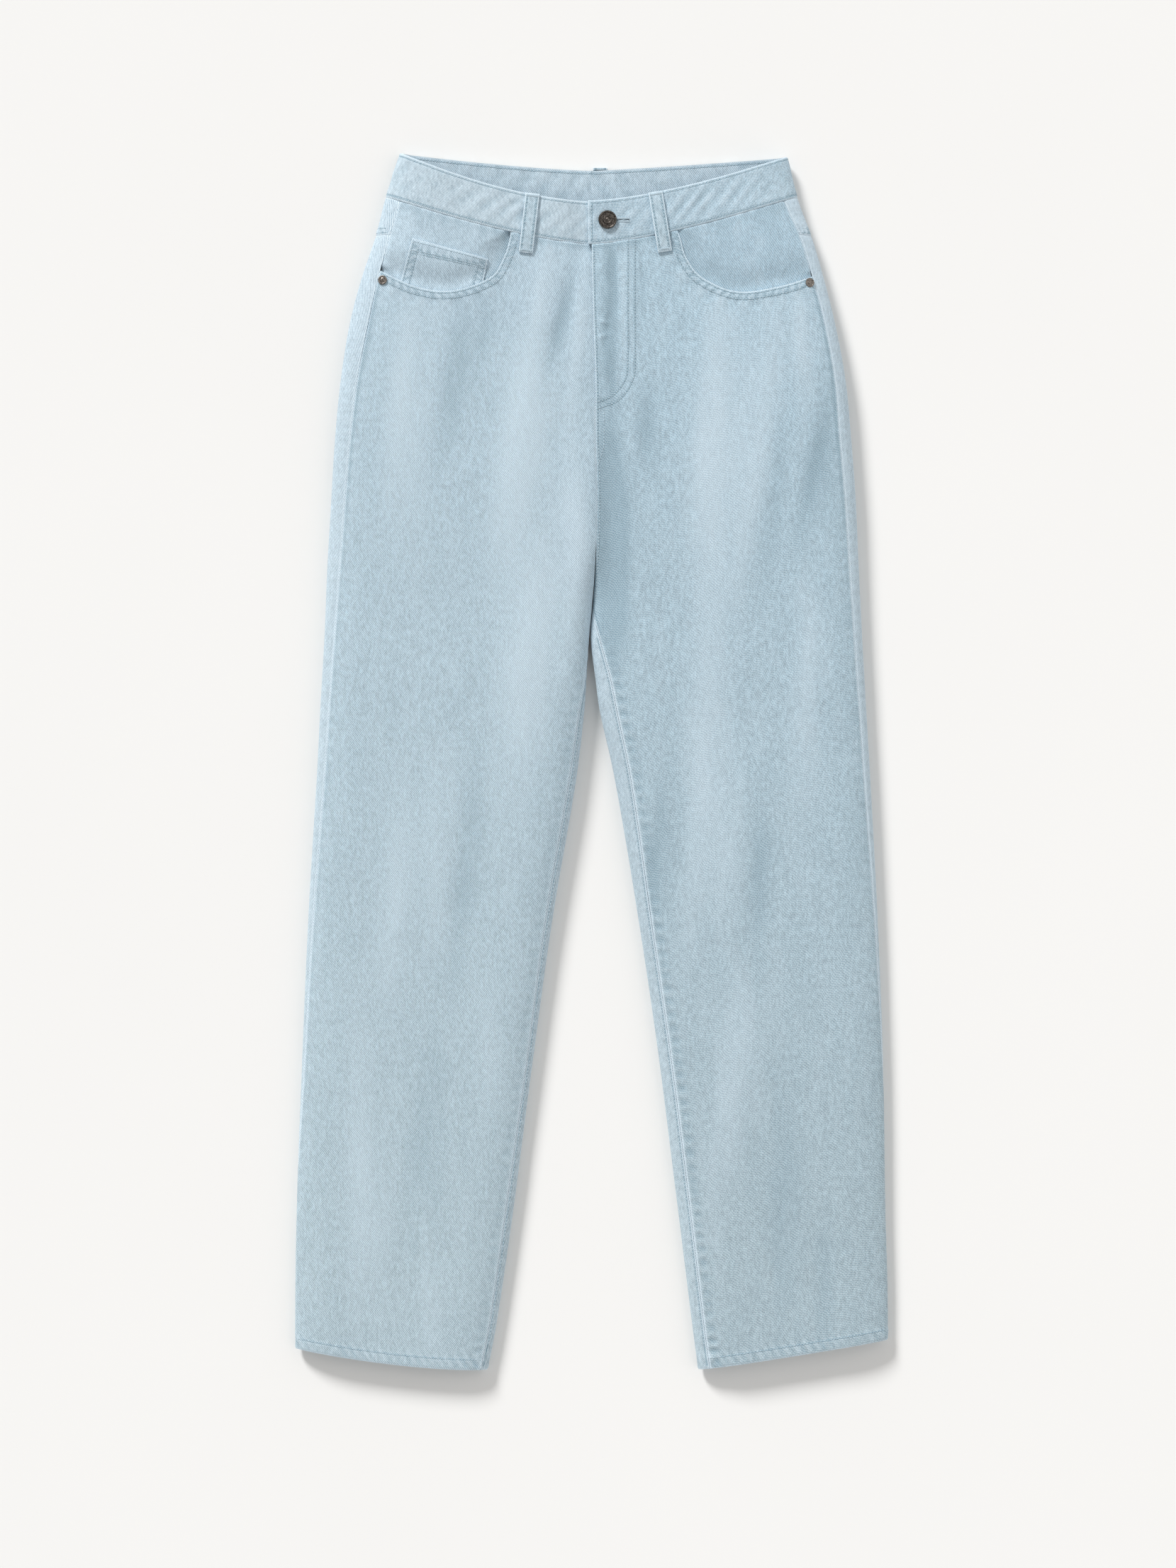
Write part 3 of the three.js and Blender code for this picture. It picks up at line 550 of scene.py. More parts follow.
@dataclass
class Relief:
    """Rise of seams and creases over a plain grid, and how far each point lies from them.

    Distances are in millimetres. Far from every edge and row they read FAR.
    """

    rise: np.ndarray
    # Paler where positive and darker where negative: random wear and roping, with painted light on fold
    # ridges and rolled sides, and painted shade in troughs, creases, furrows and under edges
    worn: np.ndarray
    edge: np.ndarray = field(init=False)
    row: np.ndarray = field(init=False)
    row_two: np.ndarray = field(init=False)
    run: np.ndarray = field(init=False)

    FAR = 60.0

    def __post_init__(self) -> None:
        """Start with no edge near."""
        self.edge = self.rise * 0 + self.FAR
        self.row, self.row_two = self.edge.copy(), self.edge.copy()
        self.run = self.rise * 0

    @classmethod
    def over(cls, grid: np.ndarray) -> "Relief":
        """A flat relief over a grid of numbers."""
        return cls(grid * 0.0, grid * 0.0)

    def soften(self, noise: SoftNoise, x: np.ndarray, y: np.ndarray, strength: float = 1.0) -> None:
        """Add the low uneven waves of cloth that lies loose."""
        waves = 0.24 * noise(x / 34, y / 120) + 0.1 * noise(x / 17 + 9, y / 42)
        self.rise += strength * (waves + 0.05 * noise(x / 7.5, y / 11))
        self.worn += 0.12 * noise(x / 9 + 5, y / 40) + 0.12 * noise(x / 3.1, y / 9 + 5)

    def crease(self, folds: Sequence[Fold], x: np.ndarray, y: np.ndarray) -> None:
        """Add soft creases, paler on their ridges from wear and painted light, and darker in their troughs
        from painted shade.
        """
        height = sum(one.height(x, y) for one in folds)
        self.rise += height
        self.worn += CREASE_TONE * height

    def border(
        self,
        away: np.ndarray,
        run: np.ndarray,
        rows: Sequence[float] = (),
        drop: float = 0.5,
        where: np.ndarray | float = 1.0,
    ) -> None:
        """Round a folded edge, with rows of sewing beside it.

        Args:
            away: Distance from the edge into the cloth.
            run: Distance along it.
            rows: How far in up to two rows of sewing lie.
            drop: How far the edge itself rounds down.
            where: 1 where the edge has its sewing and 0 elsewhere.
        """
        self.rise -= drop * bell(away, 0.9)
        nearer = away < self.edge
        self.edge = np.where(nearer, away, self.edge)
        self.run = np.where(nearer, run, self.run)
        sewn = np.broadcast_to(where, away.shape) > 0.5
        near = nearer & sewn & (away < 16)
        first = away - rows[0] if rows else self.FAR
        second = away - rows[1] if len(rows) > 1 else self.FAR
        self.row = np.where(near, first, np.where(nearer & (away < 16), self.FAR, self.row))
        self.row_two = np.where(near, second, np.where(nearer & (away < 16), self.FAR, self.row_two))
        for inset in rows:
            self.rise -= 0.26 * bell(away - inset, 0.8) * where

    def pucker(
        self, away: np.ndarray, wave: np.ndarray, middle: float, wide: float, rise: float, tone: float
    ) -> None:
        """Puckers along a seam.

        Args:
            away: Distance from the edge.
            wave: The puckers' wave along it.
            middle: Distance at which they are strongest.
            wide: How far they spread.
            rise: Their height.
            tone: How much paler and deeper they turn the cloth.
        """
        share = bell(away - middle, wide)
        self.rise += rise * share * wave
        self.worn += tone * share * wave

    def marks(self) -> dict[str, np.ndarray]:
        """What the denim's material reads."""
        return {
            "worn": np.clip(self.worn, -1, 1),
            "edge": self.edge,
            "row": self.row,
            "row_two": self.row_two,
            "run": self.run,
        }


def shell(
    name: str,
    outer: np.ndarray,
    inner: np.ndarray,
    relief: Relief,
    flip: bool,
    keep: np.ndarray | None = None,
    uv: np.ndarray | None = None,
) -> bpy.types.Object:
    """A closed wall of cloth from a grid of outer points and the grid of inner points.

    Args:
        name: Object's name.
        outer: Outer points, rows by columns by 3.
        inner: Inner points, the same shape.
        relief: The piece's seams and creases, for the marks that the denim shows.
        flip: Turn the faces round.
        keep: Which cells stay; all where it is None.
        uv: Places on the cloth in metres; worked out along the columns where it is None.

    Returns:
        The object, with the UV map "cloth" and the relief's attributes.
    """
    rows, cols = outer.shape[:2]
    keep = np.ones((rows - 1, cols - 1), bool) if keep is None else keep
    count = rows * cols
    index = np.arange(count).reshape(rows, cols)
    a, b, c, d = index[:-1, :-1], index[1:, :-1], index[1:, 1:], index[:-1, 1:]
    quads = [np.stack([a, b, c, d], -1)[keep], np.stack([a, d, c, b], -1)[keep] + count]
    pad = np.pad(keep, 1)
    rims = (
        (keep & ~pad[1:-1, :-2], a, b),
        (keep & ~pad[2:, 1:-1], b, c),
        (keep & ~pad[1:-1, 2:], c, d),
        (keep & ~pad[:-2, 1:-1], d, a),
    )
    for at, p, q in rims:
        quads.append(np.stack([q[at], p[at], p[at] + count, q[at] + count], -1))
    faces = np.concatenate(quads)
    if flip:
        faces = faces[:, ::-1]
    used, packed = np.unique(faces, return_inverse=True)
    faces = packed.reshape(-1, 4)
    vertices = np.concatenate([outer.reshape(-1, 3), inner.reshape(-1, 3)])[used]
    made = new_object(name, vertices, faces)
    if uv is None:
        uv = cloth_places(outer)
    marks = {
        label: np.concatenate([np.broadcast_to(values, (rows, cols)).ravel()] * 2)[used]
        for label, values in relief.marks().items()
    }
    # The inner face's places lie a wall further on, so that the weave runs over the rims unstretched
    flat = uv.reshape(-1, 2)
    add_cloth_data(made, np.concatenate([flat, flat + RIM_TURN])[used], marks)
    return made


def cloth_places(outer: np.ndarray) -> np.ndarray:
    """Places on the cloth in metres: along the columns by arc length, down the rows by y."""
    middle = outer.shape[1] // 2
    arc = np.cumsum(np.linalg.norm(np.diff(outer, axis=1), axis=2), axis=1)
    arc = np.concatenate([np.zeros((outer.shape[0], 1)), arc], 1)
    sense = np.sign(outer[:, -1, 0].mean() - outer[:, 0, 0].mean())
    u = outer[:, middle : middle + 1, 0] + sense * (arc - arc[:, middle : middle + 1])
    return np.stack([u, outer[..., 1]], -1) * MM


def add_cloth_data(made: bpy.types.Object, uv: np.ndarray, marks: dict[str, np.ndarray]) -> None:
    """Give an object the UV map and the attributes that the denim's material reads.

    Args:
        made: The object.
        uv: A place on the cloth for each point, in metres.
        marks: Values for each point, by attribute name.
    """
    mesh = made.data
    corners = np.zeros(len(mesh.loops), np.int32)
    mesh.loops.foreach_get("vertex_index", corners)
    layer = mesh.uv_layers.new(name="cloth")
    layer.data.foreach_set("uv", uv[corners].astype(np.float32).ravel())
    for label, values in marks.items():
        attribute = mesh.attributes.new(label, "FLOAT", "POINT")
        attribute.data.foreach_set("value", values.astype(np.float32).ravel())


def arcs_from_ends(points: np.ndarray) -> tuple[np.ndarray, np.ndarray]:
    """Distance of each grid point along its row from the row's first and last point."""
    step = np.linalg.norm(np.diff(points, axis=1), axis=2)
    start = np.concatenate([np.zeros((points.shape[0], 1)), np.cumsum(step, 1)], 1)
    return start, start[:, -1:] - start


def finish(made: bpy.types.Object, nodes: Sequence[str], slot: str, *materials: bpy.types.Material) -> None:
    """Dress a finished piece, hide the CAD nodes that it replaces and attach it to the body.

    Args:
        made: The piece.
        nodes: CAD nodes that it replaces.
        slot: Not used.
        *materials: Its materials, in slot order.
    """
    made.data.materials.clear()
    for material in materials:
        made.data.materials.append(material)
    if nodes:
        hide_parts(*nodes)
    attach(made, BODY)
    LOG.info("%s: %d faces", made.name, len(made.data.polygons))


def srgb(r: float, g: float, b: float) -> tuple[float, float, float, float]:
    """A colour of 0 to 255 as linear light with full alpha."""
    def one(v: float) -> float:
        """One channel."""
        v /= 255
        return v / 12.92 if v <= 0.04045 else ((v + 0.055) / 1.055) ** 2.4

    return (one(r), one(g), one(b), 1.0)


class Sockets(Enum):
    """Kinds of sockets on a node group."""

    NUMBER = "NodeSocketFloat"
    COLOUR = "NodeSocketColor"
    VECTOR = "NodeSocketVector"


class Graph:
    """A short way to write a node tree."""

    def __init__(self, tree: bpy.types.NodeTree) -> None:
        """Start on a tree."""
        self.tree = tree

    def node(self, kind: str, settings: dict | None = None, **inputs: object) -> bpy.types.Node:
        """Add a node.

        Args:
            kind: The node's type.
            settings: Its own settings.
            **inputs: Values or sockets by input name, with _ for a space, or i0, i1 by number.

        Returns:
            The node.
        """
        made = self.tree.nodes.new(kind)
        for key, value in (settings or {}).items():
            setattr(made, key, value)
        for key, value in inputs.items():
            at = int(key[1:]) if key[0] == "i" and key[1:].isdigit() else key.replace("_", " ")
            socket = made.inputs[at]
            if isinstance(value, bpy.types.NodeSocket):
                self.tree.links.new(value, socket)
            else:
                socket.default_value = value
        return made

    def math(self, operation: str, *values: object) -> bpy.types.NodeSocket:
        """A Math node's result."""
        inputs = {f"i{k}": value for k, value in enumerate(values)}
        return self.node("ShaderNodeMath", {"operation": operation}, **inputs).outputs[0]

    def mix(self, share: object, first: object, second: object, blend: str = "MIX") -> bpy.types.NodeSocket:
        """A colour mix's result."""
        made = self.node("ShaderNodeMix", {"data_type": "RGBA", "blend_type": blend})
        for socket, value in ((made.inputs[0], share), (made.inputs[6], first), (made.inputs[7], second)):
            if isinstance(value, bpy.types.NodeSocket):
                self.tree.links.new(value, socket)
            else:
                socket.default_value = value
        return made.outputs[2]


def group_tree(
    name: str, inputs: Sequence[tuple[str, Sockets, object]], outputs: Sequence[tuple[str, Sockets]]
) -> tuple[Graph, bpy.types.Node, bpy.types.Node]:
    """A new shader node group.

    Args:
        name: Its name.
        inputs: Name, kind and default of each input.
        outputs: Name and kind of each output.

    Returns:
        The graph, its input node and its output node.
    """
    tree = bpy.data.node_groups.new(name, "ShaderNodeTree")
    for label, kind, value in inputs:
        socket = tree.interface.new_socket(name=label, in_out="INPUT", socket_type=kind.value)
        socket.default_value = value
    for label, kind in outputs:
        tree.interface.new_socket(name=label, in_out="OUTPUT", socket_type=kind.value)
    return Graph(tree), tree.nodes.new("NodeGroupInput"), tree.nodes.new("NodeGroupOutput")


def twill_group() -> bpy.types.NodeTree:
    """The weave of denim: slanted twill lines, broken along their length, with slubs in the warp."""
    graph, given, out = group_tree(
        "Twill",
        (
            ("Cloth", Sockets.VECTOR, (0, 0, 0)),
            ("Turn", Sockets.NUMBER, 0.9),
            ("Pitch", Sockets.NUMBER, 0.0014),
            ("Wobble", Sockets.NUMBER, 0.9),
            ("Break", Sockets.NUMBER, 0.4),
        ),
        (("Thread", Sockets.NUMBER), ("Slub", Sockets.NUMBER), ("Height", Sockets.NUMBER)),
    )
    g = given.outputs
    split = graph.node("ShaderNodeSeparateXYZ", i0=g["Cloth"]).outputs
    cos, sin = graph.math("COSINE", g["Turn"]), graph.math("SINE", g["Turn"])
    u, v = split[0], split[1]
    across = graph.math("SUBTRACT", graph.math("MULTIPLY", u, sin), graph.math("MULTIPLY", v, cos))
    run = graph.math("ADD", graph.math("MULTIPLY", u, cos), graph.math("MULTIPLY", v, sin))
    wander = graph.node("ShaderNodeTexNoise", Vector=g["Cloth"], Scale=190.0, Detail=3.0).outputs[0]
    turns = graph.math("DIVIDE", across, g["Pitch"])
    turns = graph.math("ADD", turns, graph.math("MULTIPLY", wander, g["Wobble"]))
    line = graph.math("SINE", graph.math("MULTIPLY", turns, 2 * math.pi))
    row = graph.node("ShaderNodeTexWhiteNoise", {"noise_dimensions": "1D"}, W=graph.math("FLOOR", turns))
    phase = graph.math("MULTIPLY", row.outputs["Value"], 6.28)
    along = graph.math("MULTIPLY_ADD", graph.math("DIVIDE", run, g["Pitch"]), 3.1, phase)
    dash = graph.math("SINE", along)
    thread = graph.math("ADD", line, graph.math("MULTIPLY", dash, g["Break"]))
    thread = graph.math("MULTIPLY_ADD", thread, 0.46, 0.5)
    warp = graph.node(
        "ShaderNodeVectorMath", {"operation": "MULTIPLY"}, i0=g["Cloth"], i1=(1500.0, 52.0, 1.0)
    )
    slub = graph.node("ShaderNodeTexNoise", Vector=warp.outputs[0], Scale=1.0, Detail=3.0, Roughness=0.6)
    links = graph.tree.links
    links.new(thread, out.inputs["Thread"])
    links.new(slub.outputs[0], out.inputs["Slub"])
    links.new(graph.math("MULTIPLY_ADD", slub.outputs[0], 0.5, thread), out.inputs["Height"])
    return graph.tree


def seam_group() -> bpy.types.NodeTree:
    """The marks along seams: pale edges rubbed by wear, and the shaded furrow of each row of sewing."""
    graph, given, out = group_tree(
        "Seams",
        (
            ("Edge", Sockets.NUMBER, 60.0),
            ("Row", Sockets.NUMBER, 60.0),
            ("Row Two", Sockets.NUMBER, 60.0),
            ("Run", Sockets.NUMBER, 0.0),
        ),
        (("Tone", Sockets.NUMBER),),
    )
    g = given.outputs
    aside = graph.math("MULTIPLY", g["Edge"], 0.4)
    along = graph.node("ShaderNodeCombineXYZ", X=g["Run"], Y=aside).outputs[0]
    uneven = graph.node("ShaderNodeTexNoise", Vector=along, Scale=0.28, Detail=3.0).outputs[0]

    def step(value: object, low: float, high: float, start: float = 0.0) -> bpy.types.NodeSocket:
        """A smooth step between low and high, from start to its other end."""
        return graph.node(
            "ShaderNodeMapRange",
            {"interpolation_type": "SMOOTHSTEP"},
            Value=value,
            From_Min=low,
            From_Max=high,
            To_Min=start,
            To_Max=1.0 - start,
        ).outputs[0]

    pale = step(g["Edge"], 0.5, 1.8, 1.0)
    pale = graph.math("MULTIPLY", pale, graph.math("MULTIPLY_ADD", uneven, 1.5, 0.4))
    tone = pale
    for name in ("Row", "Row Two"):
        furrow = step(graph.math("ABSOLUTE", g[name]), 0.15, 1.15, 1.0)
        furrow = graph.math("MULTIPLY", furrow, graph.math("MULTIPLY_ADD", uneven, 1.6, 0.9))
        tone = graph.math("SUBTRACT", tone, furrow)
    # Between two rows the cloth is drawn up like a rope, pale on its ridges and deep between them
    inside, outside = step(g["Row Two"], -6.4, -4.6), step(g["Row Two"], 0.4, 2.6)
    band = graph.math("MULTIPLY", inside, graph.math("SUBTRACT", 1.0, outside))
    slant = graph.math("MULTIPLY_ADD", g["Edge"], 0.55, g["Run"])
    wave = graph.math("MULTIPLY_ADD", uneven, 7.0, graph.math("MULTIPLY", slant, 2 * math.pi / ROPE_LENGTH))
    wave = graph.math("MULTIPLY_ADD", graph.math("SINE", wave), 0.75, -0.35)
    tone = graph.math("ADD", tone, graph.math("MULTIPLY", band, wave))
    graph.tree.links.new(tone, out.inputs["Tone"])
    return graph.tree


def wash_group() -> bpy.types.NodeTree:
    """The wash of the jeans: paler or deeper patches, a drift down the leg, and paler places from wear and
    painted light, darker places from painted shade.
    """
    graph, given, out = group_tree(
        "Wash",
        (
            ("Place", Sockets.VECTOR, (0, 0, 0)),
            ("Upper", Sockets.COLOUR, (0.5, 0.6, 0.7, 1)),
            ("Lower", Sockets.COLOUR, (0.4, 0.5, 0.6, 1)),
            ("Worn", Sockets.NUMBER, 0.0),
            ("Patches", Sockets.NUMBER, 0.26),
        ),
        (("Colour", Sockets.COLOUR),),
    )
    g = given.outputs
    y = graph.node("ShaderNodeSeparateXYZ", i0=g["Place"]).outputs[1]
    down = graph.node("ShaderNodeMapRange", Value=y, From_Min=-0.45, From_Max=0.42).outputs[0]
    base = graph.mix(down, g["Lower"], g["Upper"])
    cloud = graph.node("ShaderNodeTexNoise", Vector=g["Place"], Scale=11.0, Detail=4.0).outputs[0]
    fleck = graph.node("ShaderNodeTexNoise", Vector=g["Place"], Scale=85.0, Detail=3.0).outputs[0]
    warp = graph.node("ShaderNodeVectorMath", {"operation": "MULTIPLY"}, i0=g["Place"], i1=(1.0, 0.45, 1.0))
    grain = graph.node("ShaderNodeTexNoise", Vector=warp.outputs[0], Scale=480.0, Detail=2.0).outputs[0]
    patch = graph.math("MULTIPLY_ADD", cloud, 0.24, -0.12)
    patch = graph.math("ADD", patch, graph.math("MULTIPLY_ADD", fleck, 0.36, -0.18))
    patch = graph.math("ADD", patch, graph.math("MULTIPLY_ADD", grain, 5.2, -2.6))
    gain = graph.math("MULTIPLY_ADD", patch, g["Patches"], 1.0)
    washed = graph.node("ShaderNodeHueSaturation", Value=gain, Color=base).outputs[0]
    # Positive values pale the cloth, for wear and painted light; negative values darken it as painted shade
    pale = graph.math("MULTIPLY", graph.math("MAXIMUM", g["Worn"], 0.0), 0.62)
    washed = graph.mix(pale, washed, srgb(224, 240, 250))
    deep = graph.math("MULTIPLY", graph.math("MAXIMUM", graph.math("MULTIPLY", g["Worn"], -1.0), 0.0), 0.7)
    washed = graph.mix(deep, washed, srgb(106, 141, 156))
    graph.tree.links.new(washed, out.inputs["Colour"])
    return graph.tree


@dataclass(frozen=True)
class Denim:
    """A finish of denim: its wash and how its twill runs."""

    name: str
    upper: tuple[float, float, float]
    lower: tuple[float, float, float]
    turn: float
    pitch: float = 1.4
    contrast: float = 0.5
    breaks: float = 0.16
    wobble: float = 0.9
    slub: float = 0.16

    def build(self, groups: dict[str, bpy.types.NodeTree]) -> bpy.types.Material:
        """The material.

        Args:
            groups: The shared node groups by name.

        Returns:
            The material.
        """
        material = bpy.data.materials.new(self.name)
        material.use_nodes = True
        graph = Graph(material.node_tree)
        shader = material.node_tree.nodes["Principled BSDF"]
        cloth = graph.node("ShaderNodeUVMap", {"uv_map": "cloth"}).outputs[0]
        place = graph.node("ShaderNodeTexCoord").outputs["Object"]
        marks = {
            label: graph.node("ShaderNodeAttribute", {"attribute_name": label}).outputs["Fac"]
            for label in ("worn", "edge", "row", "row_two", "run")
        }
        seams = graph.node(
            "ShaderNodeGroup",
            {"node_tree": groups["seams"]},
            Edge=marks["edge"],
            Row=marks["row"],
            Row_Two=marks["row_two"],
            Run=marks["run"],
        )
        worn = graph.math("ADD", marks["worn"], seams.outputs["Tone"])
        twill = graph.node("ShaderNodeGroup", {"node_tree": groups["twill"]}, Cloth=cloth)
        twill.inputs["Turn"].default_value = math.radians(self.turn)
        twill.inputs["Pitch"].default_value = self.pitch * MM
        twill.inputs["Wobble"].default_value = self.wobble
        twill.inputs["Break"].default_value = self.breaks
        wash = graph.node("ShaderNodeGroup", {"node_tree": groups["wash"]}, Place=place, Worn=worn)
        wash.inputs["Upper"].default_value = srgb(*self.upper)
        wash.inputs["Lower"].default_value = srgb(*self.lower)
        pale = graph.mix(self.contrast * 1.1, wash.outputs[0], srgb(234, 246, 252))
        deep = graph.mix(self.contrast, wash.outputs[0], srgb(92, 130, 156))
        woven = graph.mix(twill.outputs["Thread"], deep, pale)
        streak = graph.math("MULTIPLY_ADD", twill.outputs["Slub"], self.slub * 2, 1 - self.slub)
        colour = graph.node("ShaderNodeHueSaturation", Value=streak, Color=woven).outputs[0]
        material.node_tree.links.new(colour, shader.inputs["Base Color"])
        bump = graph.node("ShaderNodeBump", Height=twill.outputs["Height"], Strength=0.55, Distance=0.00022)
        material.node_tree.links.new(bump.outputs[0], shader.inputs["Normal"])
        shader.inputs["Roughness"].default_value = 0.9
        shader.inputs["Sheen Weight"].default_value = 0.18
        shader.inputs["Sheen Roughness"].default_value = 0.5
        shader.inputs["Specular IOR Level"].default_value = 0.2
        return material


@dataclass(frozen=True)
class Thread:
    """A finish of sewing thread."""

    name: str
    colour: tuple[float, float, float]

    def build(self) -> bpy.types.Material:
        """The material."""
        material = bpy.data.materials.new(self.name)
        material.use_nodes = True
        graph = Graph(material.node_tree)
        shader = material.node_tree.nodes["Principled BSDF"]
        place = graph.node("ShaderNodeTexCoord").outputs["Object"]
        noise = graph.node("ShaderNodeTexNoise", Vector=place, Scale=420.0, Detail=2.0).outputs[0]
        gain = graph.math("MULTIPLY_ADD", noise, 0.3, 0.85)
        tone = graph.node("ShaderNodeHueSaturation", Value=gain, Color=srgb(*self.colour)).outputs[0]
        material.node_tree.links.new(tone, shader.inputs["Base Color"])
        shader.inputs["Roughness"].default_value = 0.75
        return material


@dataclass(frozen=True)
class Metal:
    """A finish of plated metal, rubbed through in places."""

    name: str
    dark: tuple[float, float, float]
    bright: tuple[float, float, float]
    roughness: float

    def build(self) -> bpy.types.Material:
        """The material."""
        material = bpy.data.materials.new(self.name)
        material.use_nodes = True
        graph = Graph(material.node_tree)
        shader = material.node_tree.nodes["Principled BSDF"]
        place = graph.node("ShaderNodeTexCoord").outputs["Object"]
        noise = graph.node("ShaderNodeTexNoise", Vector=place, Scale=900.0, Detail=4.0).outputs[0]
        ramp = graph.node("ShaderNodeMapRange", Value=noise, From_Min=0.35, From_Max=0.68).outputs[0]
        colour = graph.mix(ramp, srgb(*self.dark), srgb(*self.bright))
        material.node_tree.links.new(colour, shader.inputs["Base Color"])
        rough = graph.math("MULTIPLY_ADD", noise, 0.3, self.roughness - 0.15)
        material.node_tree.links.new(rough, shader.inputs["Roughness"])
        bump = graph.node("ShaderNodeBump", Height=noise, Strength=0.3, Distance=0.0001)
        material.node_tree.links.new(bump.outputs[0], shader.inputs["Normal"])
        shader.inputs["Metallic"].default_value = 0.92
        return material


class Finishes:
    """Every finish of the jeans, built once."""

    def __init__(self) -> None:
        """Build the shared groups and the materials."""
        groups = {"twill": twill_group(), "wash": wash_group(), "seams": seam_group()}

        def denim(
            name: str,
            upper: tuple[float, float, float],
            lower: tuple[float, float, float] | None = None,
            **settings: float,
        ) -> bpy.types.Material:
            """One denim, of the same colour up and down where lower is None."""
            return Denim(f"denim_{name}", upper, lower or upper, **settings).build(groups)

        self.front_right = denim("front_right", (180, 204, 218), (174, 193, 200), turn=51)
        self.front_left = denim(
            "front_left",
            (174, 202, 217),
            (163, 183, 190),
            turn=67,
            pitch=1.1,
            contrast=0.42,
            breaks=0.6,
            wobble=1.5,
        )
        self.back = denim("back", (186, 205, 217), (174, 192, 199), turn=58, contrast=0.45)
        self.band_right = denim("band_right", (192, 209, 218), turn=38)
        self.band_left = denim("band_left", (170, 195, 209), turn=84, pitch=1.3, contrast=0.45, breaks=0.3)
        # The left facing's copy is darker than the right's: painted shade cast by the front panel's edge
        self.facings = {
            "right": denim("facing_right", (188, 210, 223), turn=55),
            "left": denim("facing_left", (158, 189, 206), turn=60),
        }
        self.trim = denim("trim", (180, 201, 212), (176, 194, 202), turn=48, pitch=1.3, contrast=0.34)
        # The inside of the band: the same denim with its twill turned, kept paler as painted light
        self.band_inside = denim("band_inside", (190, 209, 220), turn=128)
        self.thread = Thread("thread_tonal", (194, 212, 222)).build()
        self.gunmetal = Metal("gunmetal", (62, 58, 56), (128, 121, 114), 0.42).build()
        self.nickel = Metal("dark_nickel", (92, 86, 82), (168, 160, 152), 0.4).build()
        self.brass = Metal("zip_brass", (120, 104, 72), (176, 158, 118), 0.4).build()


def spaced(start: float, stop: float, step: float) -> np.ndarray:
    """Evenly spaced numbers from start to just before stop, about a step apart."""
    count = max(1, round(abs(stop - start) / step))
    return start + (stop - start) * np.arange(count) / count


def hem_share(level: np.ndarray) -> np.ndarray:
    """The share of the hem's curve that a row follows."""
    return np.clip((HEM_CURVE_FROM - level) / HEM_CURVE_OVER, 0, 1)


def settle(
    half: Half, level: np.ndarray, places: Callable, line: Callable
) -> tuple[np.ndarray, np.ndarray]:
    """Find where each grid point lies, when its level depends on its x.

    Args:
        half: The half it lies on.
        level: Rows' own levels, rows by 1.
        places: Gives places for levels.
        line: Gives levels for level, x and place.

    Returns:
        y and place, rows by columns.
    """
    y = level + 0 * places(level)
    for _ in range(4):
        place = places(y)
        y = line(level, half.section(y, place)[0], place)
    return y, places(y)


def stretch(start: np.ndarray, stop: np.ndarray, share: np.ndarray) -> np.ndarray:
    """A straight change from start to stop."""
    return start + (stop - start) * share


